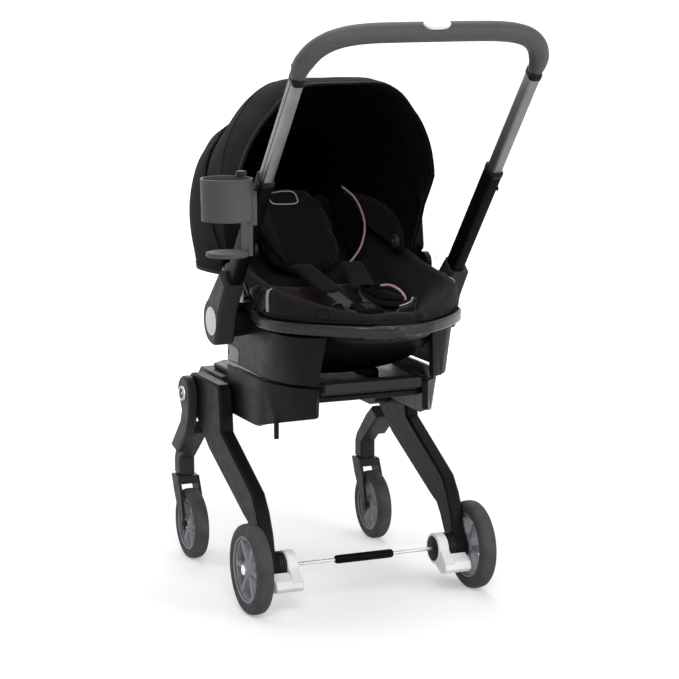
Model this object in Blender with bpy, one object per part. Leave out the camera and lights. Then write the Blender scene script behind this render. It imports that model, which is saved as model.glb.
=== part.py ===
"""Travel system stroller: an infant carrier on a folding four-wheel base.

Metres, +Z up, +Y the travel direction, +X to the right of someone looking along +Y.
Places are given from the point on the floor under the middle of the rear axle. The last step
moves everything so that the origin is the bottom centre of the model's box.
"""
import math

import bpy
import bmesh
from mathutils import Matrix, Vector

# Frame of the whole model
BOX_CENTRE_X = -0.0385
BOX_CENTRE_Y = 0.1152
GAP = 0.0003

# Wheels
REAR_WHEEL_RADIUS = 0.076
REAR_WHEEL_X = 0.2027
REAR_WHEEL_WIDTH = 0.028
FRONT_WHEEL_RADIUS = 0.0635
FRONT_WHEEL_X = 0.1785
FRONT_WHEEL_Y = 0.368
FRONT_WHEEL_WIDTH = 0.026
RIM_SHARE = 0.735
SPOKES = 6
WHEEL_STEPS = 24
AXLE_RADIUS = 0.0060
REAR_AXLE = (0.0, 0.076)

# Legs: both pairs turn about one hub axis
LEG_HUB = (0.330, 0.312)
LEG_INNER_X = 0.1625
LEG_OUTER_X = 0.1875
FRONT_HEAD_X = (0.1885, 0.2060)
FRONT_LEG_X = (0.1640, 0.1930)
CASTER_Y = 0.405
CASTER_TOP = 0.1472
LEG_PIN_RADIUS = 0.010
BRAKE_DRUM_RADIUS = 0.0245

# Base under the carrier
BASE_OUTER_X = 0.1605
BASE_BOTTOM = 0.295
BASE_FOOT_BOTTOM = 0.328
BASE_TOP = 0.380
PANEL_WALL = 0.010
TRAY_LEVELS = (0.352, 0.362)
REST_PAD_BOTTOM = 0.349
SADDLE_TOP = 0.3747
LATCH_PLACE = (-0.1410, 0.042)

# Carrier
SHELL_WALL = 0.005
LINER_CLEARANCE = 0.0022
LINER_THICKNESS = 0.018
ROLL_INSET = 0.005
ROLL_THICKNESS = 0.014
WING_MIDDLE = (0.270, 0.620)
WING_OUTSIDE = 0.149
SKIRT_BOTTOM = 0.386
SKIRT_TOP = 0.470

# Cupped head support: middle of its top face (y, z), tilt from the floor in degrees
HEAD_CENTRE = (0.262, 0.607)
HEAD_TILT = 42.0
HEAD_HALF_LENGTH = 0.099
HEAD_HALF_WIDTH = 0.103
HEAD_HALF_DEPTH = 0.014
HEAD_CUP = 0.031

# Canopy hinge
CANOPY_PIVOT = (0.150, 0.548)
CANOPY_WALL = 0.0015
CANOPY_PITCH = 0.0024

# Handle: hub, then a straight tube line leaning towards the pusher
HANDLE_HUB = (0.130, 0.474)
HANDLE_FOOT = (0.073, 0.554)
HANDLE_LEAN = (-0.633, 0.774)
HANDLE_X = 0.2015
OUTER_TUBE = (0.023, 0.032)
INNER_TUBE = (0.0175, 0.0262)
TUBE_WALL = 0.0018
SLEEVE_TOP = 0.2303
INNER_BOTTOM = 0.185
INNER_TOP = 0.4456
HUB_INNER_X = 0.1885
HUB_OUTER_X = 0.2235
HUB_BUTTON_RADIUS = 0.0245

# Cup holder on the left tube
CUP_CENTRE = (-0.2590, -0.050)
CUP_RADIUS = 0.042
CUP_WALL = 0.003
CUP_RIM = (0.666, 0.733)
CUP_TRAY = (0.6085, 0.6155)
CUP_TRAY_RADIUS = 0.034

SIDES = (("left", -1.0), ("right", 1.0))


def clear_scene():
    for item in list(bpy.data.objects):
        bpy.data.objects.remove(item, do_unlink=True)


def paint(name, colour, roughness, metallic=0.0):
    """Return a named Principled material, made once."""
    found = bpy.data.materials.get(name)
    if found:
        return found
    made = bpy.data.materials.new(name)
    made.use_nodes = True
    shader = made.node_tree.nodes["Principled BSDF"]
    shader.inputs["Base Color"].default_value = (*colour, 1.0)
    shader.inputs["Roughness"].default_value = roughness
    shader.inputs["Metallic"].default_value = metallic
    made.diffuse_color = (*colour, 1.0)
    return made


def black_plastic():
    return paint("black_plastic", (0.018, 0.018, 0.020), 0.42)


def grey_plastic():
    return paint("grey_plastic", (0.050, 0.050, 0.055), 0.45)


def leg_paint():
    return paint("leg_plastic", (0.030, 0.030, 0.034), 0.38)


def white_plastic():
    return paint("white_plastic", (0.80, 0.80, 0.79), 0.35)


def rubber():
    return paint("tyre_rubber", (0.020, 0.020, 0.021), 0.70)


def rim_plastic():
    return paint("rim_plastic", (0.060, 0.060, 0.072), 0.50)


def aluminium():
    return paint("grey_aluminium", (0.16, 0.16, 0.17), 0.38, 1.0)


def steel():
    return paint("bright_steel", (0.62, 0.62, 0.64), 0.25, 1.0)


def grip_leather():
    return paint("grip_leather", (0.045, 0.040, 0.038), 0.55)


def cover_fabric():
    return paint("cover_fabric", (0.012, 0.012, 0.014), 0.90)


def insert_fabric():
    return paint("insert_fabric", (0.080, 0.050, 0.048), 0.90)


def canopy_fabric():
    return paint("canopy_fabric", (0.014, 0.014, 0.016), 0.88)


def webbing():
    return paint("webbing", (0.020, 0.020, 0.022), 0.80)


def finish_object(name, shape, material, sharp_angle=32.0):
    """Turn a bmesh into a named object with smooth round faces and crisp corners."""
    bmesh.ops.recalc_face_normals(shape, faces=shape.faces)
    mesh = bpy.data.meshes.new(name)
    shape.to_mesh(mesh)
    shape.free()
    mesh.materials.append(material)
    mesh.shade_smooth()
    mesh.set_sharp_from_angle(angle=math.radians(sharp_angle))
    made = bpy.data.objects.new(name, mesh)
    bpy.context.scene.collection.objects.link(made)
    return made


def on_axis(axis, u, v, w):
    """Point with outline coordinates u, v and height w along the named axis."""
    if axis == "X":
        return Vector((w, u, v))
    if axis == "Y":
        return Vector((u, w, v))
    return Vector((u, v, w))


def arc(centre, radius, start, stop, steps):
    """Points on an arc, angles in degrees, both ends included."""
    points = []
    for step in range(steps + 1):
        angle = math.radians(start + (stop - start) * step / steps)
        points.append((centre[0] + radius * math.cos(angle), centre[1] + radius * math.sin(angle)))
    return points


def prism(name, outline, axis, low, high, material, bevel=0.0):
    """Solid between two copies of a closed outline, with its long edges rounded by bevel."""
    shape = bmesh.new()
    ends = []
    for w in (low, high):
        ends.append([shape.verts.new(on_axis(axis, u, v, w)) for u, v in outline])
    caps = [shape.faces.new(ends[0]), shape.faces.new(ends[1])]
    count = len(outline)
    for k in range(count):
        following = (k + 1) % count
        shape.faces.new((ends[0][k], ends[0][following], ends[1][following], ends[1][k]))
    if bevel > 0.0:
        round_rims(shape, caps, bevel)
    return finish_object(name, shape, material)


def loft(name, rings, material, sharp_angle=32.0, bevel=0.0):
    """Solid through rings of equal length, closed at both ends, with its end rims rounded by bevel."""
    shape = bmesh.new()
    rows = [[shape.verts.new(point) for point in ring] for ring in rings]
    bridge(shape, rows)
    caps = [shape.faces.new(rows[0]), shape.faces.new(rows[-1])]
    if bevel > 0.0:
        round_rims(shape, caps, bevel)
    return finish_object(name, shape, material, sharp_angle)


def round_rims(shape, caps, bevel):
    """Bevel the edges round the given end faces."""
    bmesh.ops.recalc_face_normals(shape, faces=shape.faces)
    rims = {edge for cap in caps for edge in cap.edges}
    bmesh.ops.bevel(shape, geom=list(rims), offset=bevel, segments=1, affect="EDGES", clamp_overlap=True)


def bridge(shape, rows):
    for row, following in zip(rows, rows[1:]):
        count = len(row)
        for k in range(count):
            shape.faces.new((row[k], row[(k + 1) % count], following[(k + 1) % count], following[k]))


def turned(name, profile, axis_point, material, steps=32, sharp_angle=32.0):
    """Body of revolution about an X axis through axis_point (y, z).

    The profile is a list of (x, radius). A closed loop of it makes a ring; a profile whose ends
    have radius zero makes a solid.
    """
    shape = bmesh.new()
    solid = profile[0][1] == 0.0
    inner = profile[1:-1] if solid else profile
    rows = []
    for step in range(steps):
        angle = 2.0 * math.pi * step / steps
        row = []
        for x, radius in inner:
            y = axis_point[0] + radius * math.cos(angle)
            z = axis_point[1] + radius * math.sin(angle)
            row.append(shape.verts.new((x, y, z)))
        rows.append(row)
    poles = []
    if solid:
        for x, _ in (profile[0], profile[-1]):
            poles.append(shape.verts.new((x, axis_point[0], axis_point[1])))
    for step in range(steps):
        row = rows[step]
        following = rows[(step + 1) % steps]
        last = len(inner) if not solid else len(inner) - 1
        for k in range(last):
            ahead = (k + 1) % len(inner)
            shape.faces.new((row[k], row[ahead], following[ahead], following[k]))
        if solid:
            shape.faces.new((poles[0], row[0], following[0]))
            shape.faces.new((poles[1], following[-1], row[-1]))
    return finish_object(name, shape, material, sharp_angle)


def combine(target, tool, operation):
    """Apply an exact Boolean to target and drop the tool."""
    modifier = target.modifiers.new(operation.lower(), "BOOLEAN")
    modifier.operation = operation
    modifier.solver = "EXACT"
    modifier.object = tool
    bpy.context.view_layer.update()
    evaluated = target.evaluated_get(bpy.context.evaluated_depsgraph_get())
    mesh = bpy.data.meshes.new_from_object(evaluated)
    target.modifiers.clear()
    target.data = mesh
    target.data.set_sharp_from_angle(angle=math.radians(32.0))
    bpy.data.objects.remove(tool, do_unlink=True)
    return target


def add_body(name, parent, place):
    """Empty on a joint axis that carries the pieces of one moving body."""
    carrier = bpy.data.objects.new(name, None)
    carrier.empty_display_size = 0.02
    bpy.context.scene.collection.objects.link(carrier)
    carrier["place"] = place
    if parent is not None:
        carrier.parent = parent
        carrier.location = Vector(place) - Vector(parent["place"])
    else:
        carrier.location = Vector(place) - Vector((BOX_CENTRE_X, BOX_CENTRE_Y, 0.0))
    return carrier


def attach(pieces, carrier):
    """Parent pieces to a body's empty, with each piece's origin on the joint axis."""
    for piece in pieces:
        piece.data.transform(Matrix.Translation(-Vector(carrier["place"])))
        piece.parent = carrier


def along_handle(distance, offset=0.0):
    """Point (y, z) on the handle's tube line, offset towards the front side of the tube."""
    y = HANDLE_FOOT[0] + HANDLE_LEAN[0] * distance + HANDLE_LEAN[1] * offset
    z = HANDLE_FOOT[1] + HANDLE_LEAN[1] * distance - HANDLE_LEAN[0] * offset
    return (y, z)


def oval_ring(centre_x, distance, width, depth, corner=0.35):
    """Rounded section of a handle tube, square to the tube line."""
    ring = []
    for step in range(16):
        angle = 2.0 * math.pi * (step + 0.5) / 16
        cos_part = math.copysign(abs(math.cos(angle)) ** corner, math.cos(angle))
        sin_part = math.copysign(abs(math.sin(angle)) ** corner, math.sin(angle))
        y, z = along_handle(distance, depth / 2 * sin_part)
        ring.append((centre_x + width / 2 * cos_part, y, z))
    return ring


def hollow_tube(name, centre_x, low, high, size, material):
    """Open-ended oval tube between two distances along the handle line."""
    width, depth = size
    shape = bmesh.new()
    rows = []
    for inset, distance in ((0.0, low), (0.0, high), (TUBE_WALL, high), (TUBE_WALL, low)):
        ring = oval_ring(centre_x, distance, width - 2 * inset, depth - 2 * inset)
        rows.append([shape.verts.new(point) for point in ring])
    rows.append(rows[0])
    bridge(shape, rows)
    return finish_object(name, shape, material, 40.0)


# Carrier

# Stations of the shell from foot end to head end: y, half width of the lip, rim height,
# bottom height, half width of the body under the lip, depth of the lip
SHELL_STATIONS = (
    (-0.139, 0.018, 0.494, 0.472, 0.010, 0.014),
    (-0.136, 0.034, 0.494, 0.469, 0.022, 0.016),
    (-0.128, 0.054, 0.494, 0.466, 0.036, 0.017),
    (-0.113, 0.080, 0.494, 0.462, 0.056, 0.017),
    (-0.093, 0.106, 0.494, 0.457, 0.078, 0.017),
    (-0.070, 0.130, 0.494, 0.450, 0.088, 0.017),
    (-0.045, 0.151, 0.494, 0.439, 0.092, 0.017),
    (-0.020, 0.166, 0.494, 0.425, 0.118, 0.017),
    (0.010, 0.1735, 0.494, 0.408, 0.133, 0.017),
    (0.040, 0.175, 0.495, 0.392, 0.146, 0.017),
    (0.070, 0.175, 0.506, 0.383, 0.148, 0.020),
    (0.100, 0.175, 0.530, 0.375, 0.149, 0.028),
    (0.130, 0.175, 0.551, 0.375, 0.149, 0.034),
    (0.200, 0.173, 0.565, 0.375, 0.147, 0.034),
    (0.300, 0.160, 0.588, 0.378, 0.134, 0.034),
    (0.370, 0.140, 0.612, 0.405, 0.114, 0.034),
    (0.415, 0.115, 0.630, 0.460, 0.089, 0.034),
    (0.440, 0.088, 0.641, 0.530, 0.064, 0.034),
    (0.453, 0.055, 0.648, 0.595, 0.040, 0.029),
    (0.457, 0.035, 0.650, 0.625, 0.026, 0.014),
)

# Height of the seat surface above the floor along the seat: y, height
SEAT_LINE = (
    (-0.130, 0.509),
    (-0.113, 0.512),
    (-0.095, 0.487),
    (-0.045, 0.462),
    (0.000, 0.440),
    (0.050, 0.436),
    (0.110, 0.452),
    (0.200, 0.505),
    (0.290, 0.558),
    (0.370, 0.600),
    (0.430, 0.628),
)

# Height of the top of the padded wall round the seat: y, height
WALL_TOP = (
    (-0.130, 0.511),
    (-0.100, 0.518),
    (-0.060, 0.530),
    (-0.020, 0.540),
    (0.040, 0.547),
    (0.100, 0.554),
    (0.160, 0.562),
    (0.200, 0.572),
    (0.300, 0.598),
    (0.370, 0.622),
    (0.430, 0.645),
)


def between(table, y, column=1):
    """Straight-line value of a column of a table at y."""
    for low, high in zip(table, table[1:]):
        if y <= high[0]:
            share = (y - low[0]) / (high[0] - low[0])
            return low[column] + (high[column] - low[column]) * max(share, 0.0)
    return table[-1][column]


def bowl(half_width, top, bottom, steps, power=2.6):
    """Right-to-left points of a rounded trough, without its two top ends."""
    points = []
    for step in range(1, steps):
        angle = math.pi * step / steps
        cos_part = math.copysign(abs(math.cos(angle)) ** (2 / power), math.cos(angle))
        points.append((half_width * cos_part, top - (top - bottom) * math.sin(angle) ** (2 / power)))
    return points


def shell_measures(y):
    """Half width, rim height, lip depth, height under the lip, body half width and bottom at y."""
    half = between(SHELL_STATIONS, y, 1)
    rim = between(SHELL_STATIONS, y, 2)
    bottom = between(SHELL_STATIONS, y, 3)
    body = between(SHELL_STATIONS, y, 4)
    lip = between(SHELL_STATIONS, y, 5)
    return half, rim, lip, rim - lip - 0.004, body, bottom


def shell_ring(y):
    """Closed section of the shell with its lip: outside from right to left, then inside back."""
    half, rim, lip, under, body, bottom = shell_measures(y)
    inner_bottom = min(bottom + SHELL_WALL, under - 0.002)
    right = [(half - 0.013, rim), (half - 0.004, rim), (half, rim - 0.006), (half, rim - lip + 0.006),
             (half - 0.004, rim - lip), (body, under)]
    outside = right + bowl(body, under, bottom, 10) + [(-x, z) for x, z in reversed(right)]
    neck = body - SHELL_WALL
    inside = [(-neck, under)] + list(reversed(bowl(neck, under, inner_bottom, 10))) + [(neck, under)]
    return [(x, y, z) for x, z in outside + inside]


def make_shell():
    return loft("seat_shell", [shell_ring(station[0]) for station in SHELL_STATIONS], black_plastic())


def liner_ring(y):
    """Section of the padded liner: a trough whose walls roll outward over the shell's lip."""
    half, rim, lip, under, body, bottom = shell_measures(y)
    seat = between(SEAT_LINE, y)
    outer = half - 0.013 - 3.5 * LINER_CLEARANCE
    neck = body - SHELL_WALL - LINER_CLEARANCE
    wall = min(LINER_THICKNESS, 0.30 * neck)
    shoulder = under + 0.008
    outer_bottom = max(seat - LINER_THICKNESS, bottom + SHELL_WALL + LINER_CLEARANCE)
    outer_bottom = min(outer_bottom, shoulder - 0.003)
    top = between(WALL_TOP, y)
    roll = max(half - ROLL_INSET, outer + 0.004)
    rest = rim + 2 * GAP
    right = [(roll - 0.005, top), (roll, top - 0.005), (roll, rest), (outer, rest), (neck, shoulder)]
    outside = right + bowl(neck, shoulder, outer_bottom, 10) + [(-x, z) for x, z in reversed(right)]
    inner_shoulder = shoulder + 0.006
    inner_bottom = min(max(seat, outer_bottom + 0.008), top - 0.001)
    inner_shoulder = max(inner_shoulder, min(inner_bottom + 0.004, top - 0.0005))
    edge = max(roll - 0.005 - ROLL_THICKNESS, 0.45 * roll)
    floor = min(neck - wall, edge - 0.001)
    inside = [(-edge, top), (-floor, inner_shoulder)]
    inside += list(reversed(bowl(floor, inner_shoulder, inner_bottom, 10)))
    inside += [(floor, inner_shoulder), (edge, top)]
    return [(x, y, z) for x, z in outside + inside]


def make_liner():
    stations = (-0.130, -0.122, -0.113, -0.103, -0.093, -0.070, -0.045, -0.020, 0.010, 0.040, 0.070, 0.100,
                0.130, 0.200, 0.300, 0.370, 0.415, 0.428)
    return loft("seat_liner", [liner_ring(y) for y in stations], cover_fabric(), 60.0)


def make_wing(label, side):
    """Upright padded wing beside the head, standing on the liner's edge."""
    outline = [(0.155, 0.5680), (0.205, 0.5790), (0.300, 0.6010), (0.368, 0.6245), (0.394, 0.6400),
               (0.380, 0.6530), (0.330, 0.6570), (0.270, 0.6550), (0.205, 0.6360), (0.163, 0.6050)]
    rings = []
    for depth, shrink in ((0.0, 0.90), (0.005, 1.0), (0.013, 1.0), (0.018, 0.90)):
        ring = []
        for y, z in outline:
            flat_y = WING_MIDDLE[0] + (y - WING_MIDDLE[0]) * shrink
            flat_z = WING_MIDDLE[1] + (z - WING_MIDDLE[1]) * shrink
            taper = 0.022 * max(0.0, (y - 0.20) / 0.17)
            ring.append((side * (WING_OUTSIDE - depth - taper), flat_y, flat_z))
        rings.append(ring)
    return loft("head_wing_" + label, rings, cover_fabric(), 60.0)


def make_head_support():
    """Cupped cushion on the reclined back: flat in the middle, turned up at both sides."""
    tilt = math.radians(HEAD_TILT)
    rings = []
    for x in (-0.101, -0.096, -0.085, -0.065, -0.040, 0.0, 0.040, 0.065, 0.085, 0.096, 0.101):
        share = (1.0 - (abs(x) / HEAD_HALF_WIDTH) ** 2.3) ** (1.0 / 2.3)
        turn_up = max(0.0, (abs(x) - 0.035) / (HEAD_HALF_WIDTH - 0.035))
        lift = HEAD_CUP * turn_up * turn_up * (3.0 - 2.0 * turn_up)
        half_depth = HEAD_HALF_DEPTH * (0.45 + 0.55 * share)
        ring = []
        for step in range(12):
            angle = 2.0 * math.pi * step / 12
            run = HEAD_HALF_LENGTH * share * math.copysign(abs(math.cos(angle)) ** 0.7, math.cos(angle))
            bulge = math.copysign(abs(math.sin(angle)) ** 0.8, math.sin(angle))
            rise = lift + half_depth * (bulge - 1.0)
            y = HEAD_CENTRE[0] + run * math.cos(tilt) - rise * math.sin(tilt)
            z = HEAD_CENTRE[1] + run * math.sin(tilt) + rise * math.cos(tilt)
            ring.append((x, y, z))
        rings.append(ring)
    return loft("head_support", rings, cover_fabric(), 60.0)


def make_bolster(label, side):
    """Body insert bolster lying along one side of the seat."""
    rings = []
    for y, radius in ((0.004, 0.007), (0.020, 0.012), (0.050, 0.015), (0.100, 0.015), (0.135, 0.008)):
        seat = between(SEAT_LINE, y) + 0.003
        ring = []
        for step in range(10):
            angle = 2.0 * math.pi * step / 10
            x = side * (0.058 + radius * 1.25 * math.cos(angle))
            ring.append((x, y, seat + 0.010 + radius + radius * math.sin(angle)))
        rings.append(ring)
    return loft("insert_bolster_" + label, rings, insert_fabric(), 60.0)


def webbing_strip(name, route, width):
    """Flat strap through route points (x, y, z), thick enough to be a solid."""
    thickness = 0.0022
    rings = []
    for index, (x, y, z) in enumerate(route):
        before = Vector(route[max(index - 1, 0)])
        after = Vector(route[min(index + 1, len(route) - 1)])
        forward = (after - before).normalized()
        across = Vector((1.0, 0.0, 0.0)) - forward * forward.x
        across.normalize()
        normal = across.cross(forward)
        centre = Vector((x, y, z))
        corners = ((-1, -1), (1, -1), (1, 1), (-1, 1))
        wide = across * (width / 2)
        deep = normal * (thickness / 2)
        rings.append([centre + wide * a + deep * b for a, b in corners])
    return loft(name, rings, webbing(), 60.0)


def make_harness():
    pieces = []
    for label, side in SIDES:
        route = [(side * 0.047, 0.176, 0.549), (side * 0.045, 0.156, 0.548), (side * 0.036, 0.100, 0.531),
                 (side * 0.026, 0.045, 0.513), (side * 0.0185, 0.012, 0.503)]
        pieces.append(webbing_strip("shoulder_strap_" + label, route, 0.026))
    crotch = [(0.0, -0.056, 0.4715), (0.0, -0.047, 0.484), (0.0, -0.033, 0.4935)]
    pieces.append(webbing_strip("crotch_strap", crotch, 0.030))
    body_outline = [(-0.031, 0.482), (-0.031, 0.504), (0.008, 0.510), (0.008, 0.486)]
    buckle = prism("harness_buckle", body_outline, "X", -0.023, 0.023, black_plastic(), 0.003)
    pocket_outline = [(-0.026, 0.4986), (-0.026, 0.522), (-0.006, 0.522), (-0.006, 0.4986)]
    pocket = prism("pocket", pocket_outline, "X", -0.0105, 0.0105, black_plastic())
    pieces.append(combine(buckle, pocket, "DIFFERENCE"))
    return pieces


def make_buckle_button():
    outline = [(-0.0257, 0.5025), (-0.0257, 0.5085), (-0.0063, 0.5105), (-0.0063, 0.5025)]
    return prism("buckle_button", outline, "X", -0.0102, 0.0102, grey_plastic(), 0.0008)


def wall_outline(path, side, wall):
    """Close a plan path into a wall of the given thickness on its inner side."""
    inner = []
    for index, (x, y) in enumerate(path):
        before = Vector(path[max(index - 1, 0)])
        after = Vector(path[min(index + 1, len(path) - 1)])
        forward = (after - before).normalized()
        inner.append((x + side * forward.y * wall, y - side * forward.x * wall))
    return path + list(reversed(inner))


def wrapped_panel(name, side, low_path, high_path, low_heights, high, wall):
    """Curved wall that runs forward along a side and wraps round the foot end."""
    rings = []
    for path, heights in ((low_path, low_heights), (high_path, [high] * len(high_path))):
        outline = wall_outline([(side * x, y) for x, y in path], side, wall)
        levels = list(heights) + list(reversed(heights))
        rings.append([(x, y, z) for (x, y), z in zip(outline, levels)])
    return loft(name, rings, black_plastic(), bevel=0.002)


def make_base_panel(label, side):
    low = [(0.1595, 0.225), (0.1585, 0.100), (0.1530, 0.066), (0.1430, 0.040), (0.1290, 0.012),
           (0.1150, -0.014), (0.1020, -0.034)]
    high = [(BASE_OUTER_X, 0.225), (BASE_OUTER_X, 0.095), (0.1585, 0.064), (0.1500, 0.036), (0.1370, 0.006),
            (0.1210, -0.020), (0.0990, -0.039)]
    heights = []
    for _, y in low:
        share = max(0.0, (low[1][1] - y) / (low[1][1] - low[-1][1]))
        heights.append(BASE_BOTTOM + (BASE_FOOT_BOTTOM - BASE_BOTTOM) * share)
    panel = wrapped_panel("base_panel_" + label, side, low, high, heights, BASE_TOP, PANEL_WALL)
    if label == "left":
        pin = prism("latch", arc(LATCH_PLACE, 0.0045, 0, 315, 7), "Z", 0.283, 0.325, black_plastic(), 0.0008)
        panel = combine(panel, pin, "UNION")
    return panel


def make_skirt(label, side):
    """Shell skirt with the boss that carries the handle hub."""
    outer = BASE_OUTER_X - 0.001
    low = [(outer, 0.225), (outer, 0.060), (0.1570, 0.030), (0.1490, 0.000), (0.1380, -0.024),
           (0.1240, -0.040), (0.1040, -0.050)]
    high = [(outer, 0.225), (outer, 0.040), (0.1585, 0.008), (0.1520, -0.020), (0.1410, -0.041),
            (0.1220, -0.058), (0.0940, -0.066)]
    heights = [SKIRT_BOTTOM] * len(low)
    skirt = wrapped_panel("shell_skirt_" + label, side, low, high, heights, SKIRT_TOP, 0.009)
    boss = [(side * 0.1550, 0.0), (side * 0.1550, 0.027), (side * (HUB_INNER_X - GAP), 0.030),
            (side * (HUB_INNER_X - GAP), 0.0)]
    return combine(skirt, turned("boss", boss, HANDLE_HUB, black_plastic(), 16), "UNION")


def make_side_panels():
    pieces = []
    for label, side in SIDES:
        pieces += [make_base_panel(label, side), make_skirt(label, side)]
    return pieces


def make_tray():
    """Floor of the base with two rails that cradle the shell."""
    right = [(0.088, -0.024), (0.108, -0.008), (0.144, 0.060), (0.146, 0.335), (0.122, 0.355)]
    tray_outline = right + [(-x, y) for x, y in reversed(right)]
    tray = prism("base_tray", tray_outline, "Z", TRAY_LEVELS[0], TRAY_LEVELS[1], black_plastic(), 0.002)
    rail_outline = [(0.110, TRAY_LEVELS[0] + 0.004), (0.110, SADDLE_TOP - 0.004), (0.116, SADDLE_TOP),
                    (0.285, SADDLE_TOP), (0.292, SADDLE_TOP - 0.004), (0.292, TRAY_LEVELS[0] + 0.004)]
    for low in (-0.075, 0.063):
        rail = prism("rail", rail_outline, "X", low, low + 0.012, black_plastic())
        tray = combine(tray, rail, "UNION")
    pad_outline = [(-0.060, 0.100), (0.060, 0.100), (0.060, 0.200), (-0.060, 0.200)]
    pad = prism("pad", pad_outline, "Z", REST_PAD_BOTTOM, TRAY_LEVELS[0] + 0.003, black_plastic())
    return combine(tray, pad, "UNION")


def make_base():
    rest = TRAY_LEVELS[1] + GAP
    bar_outline = [(-0.040, 0.3695), (-0.040, 0.385), (-0.012, 0.385), (-0.012, rest), (-0.022, rest),
                   (-0.022, 0.3695)]
    crossbar = prism("base_crossbar", bar_outline, "X", -0.0865, 0.0865, black_plastic(), 0.0015)
    pieces = [make_tray(), crossbar]
    for label, side in SIDES:
        top = TRAY_LEVELS[0] - GAP
        outline = [(0.250, top - 0.006), (0.262, 0.282), (0.290, 0.272), (0.362, 0.272), (0.374, 0.284),
                   (0.374, 0.340), (0.362, top), (0.256, top)]
        low, high = sorted((side * 0.1350, side * 0.1620))
        pieces.append(prism("leg_housing_" + label, outline, "X", low, high, leg_paint(), 0.002))
        pin = [(side * 0.1623, 0.0), (side * 0.1623, LEG_PIN_RADIUS), (side * 0.2063, LEG_PIN_RADIUS),
               (side * 0.2063, 0.0135), (side * 0.2090, 0.0125), (side * 0.2090, 0.0)]
        pieces.append(turned("leg_pivot_" + label, pin, LEG_HUB, steel(), 16))
    return pieces


# Canopy

# Half section of the outermost panel: distance from the middle, distance from the hinge axis
CANOPY_SECTION = ((0.0, 0.3315), (0.045, 0.3315), (0.076, 0.3285), (0.108, 0.3105), (0.133, 0.2815),
                  (0.151, 0.2580), (0.171, 0.2170), (0.184, 0.1645), (0.188, 0.1050), (0.188, 0.0680),
                  (0.186, 0.0300))

# How far the rear panel swells round the head end: angle about the hinge axis, share of the section
REAR_SWELL = ((-4.0, 0.910), (4.0, 0.985), (12.0, 1.095), (20.0, 1.165), (28.0, 1.175), (35.0, 1.145),
              (41.0, 1.075), (47.0, 1.006))

# How far the front panel tucks in beside the seat: distance from the hinge axis, share of the width
FRONT_TUCK = ((0.030, 0.850), (0.068, 0.880), (0.105, 0.905), (0.160, 1.0), (0.400, 1.0))


def canopy_profile(inset):
    """Right-to-left profile, inset from the outer section on every side."""
    half = []
    for x, radius in CANOPY_SECTION:
        across = x * (1.0 - inset / CANOPY_SECTION[-1][0])
        out = radius * (1.0 - inset / CANOPY_SECTION[0][1])
        half.append((across, out))
    right = list(reversed(half))
    return right + [(-x, radius) for x, radius in half[1:]]


def canopy_ring(inset, degrees, swell, tuck=0.0):
    """Closed section of a panel at one angle about the hinge axis, measured up from +Y."""
    outer = canopy_profile(inset)
    inner = canopy_profile(inset + CANOPY_WALL)
    inner[0] = (inner[0][0], outer[0][1])
    inner[-1] = (inner[-1][0], outer[-1][1])
    angle = math.radians(degrees)
    ring = []
    for x, radius in outer + list(reversed(inner)):
        reach = radius * (1.0 + (swell - 1.0) * min(1.0, radius / 0.20))
        width = x * (1.0 - tuck * (1.0 - between(FRONT_TUCK, radius)))
        y = CANOPY_PIVOT[0] + reach * math.cos(angle)
        z = CANOPY_PIVOT[1] + reach * math.sin(angle)
        ring.append((width, y, z))
    return ring


def canopy_panel(name, layer, start, stop, steps, tuck=0.0):
    """Curved panel between two angles, nested by layer inside the one behind it."""
    rings = []
    for step in range(steps + 1):
        share = step / steps
        rings.append(canopy_ring(layer * CANOPY_PITCH, start + (stop - start) * share, 1.0, tuck * share))
    return loft(name, rings, canopy_fabric(), 50.0)


def make_canopy_rear():
    """Fixed rear panel that swells round the head end of the shell."""
    rings = [canopy_ring(0.0, degrees, swell) for degrees, swell in REAR_SWELL]
    return loft("canopy_rear", rings, canopy_fabric(), 50.0)


def make_canopy_knobs():
    pieces = []
    for label, side in SIDES:
        knob = [(side * 0.1753, 0.0), (side * 0.1753, 0.020), (side * 0.1845, 0.020), (side * 0.1862, 0.017),
                (side * 0.1862, 0.0)]
        pieces.append(turned("canopy_hinge_" + label, knob, CANOPY_PIVOT, black_plastic(), 16))
    return pieces


# Handle

def make_hub_arm(label, side):
    """Housing round the handle hub with the arm that holds the outer tube's foot."""
    foot_front = along_handle(-0.001, 0.019)
    foot_back = along_handle(-0.001, -0.019)
    outline = arc(HANDLE_HUB, 0.041, 68, -118, 10) + [(HANDLE_HUB[0] - 0.036, HANDLE_HUB[1] + 0.018)]
    outline += [foot_back, foot_front]
    low, high = sorted((side * HUB_INNER_X, side * HUB_OUTER_X))
    arm = prism("handle_hub_" + label, outline, "X", low, high, grey_plastic(), 0.004)
    bore = [(side * 0.2105, 0.0), (side * 0.2105, HUB_BUTTON_RADIUS + 0.0005),
            (side * 0.2300, HUB_BUTTON_RADIUS + 0.0005), (side * 0.2300, 0.0)]
    return combine(arm, turned("pocket", bore, HANDLE_HUB, grey_plastic(), 20), "DIFFERENCE")


def make_hub_button(label, side):
    profile = [(side * 0.2145, 0.0), (side * 0.2145, HUB_BUTTON_RADIUS), (side * 0.2238, HUB_BUTTON_RADIUS),
               (side * 0.2250, HUB_BUTTON_RADIUS - 0.002), (side * 0.2250, 0.0)]
    return turned("hub_button_" + label, profile, HANDLE_HUB, white_plastic(), 20)


# Half of the grip's centre line: distance from the middle, distance above the inner tubes' tops
GRIP_LINE = ((0.0, 0.0870), (0.060, 0.0870), (0.105, 0.0860), (0.140, 0.0815), (0.167, 0.0715),
             (0.187, 0.0540), (0.1985, 0.0310), (0.2015, 0.0150), (0.2015, 0.0003))


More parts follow.
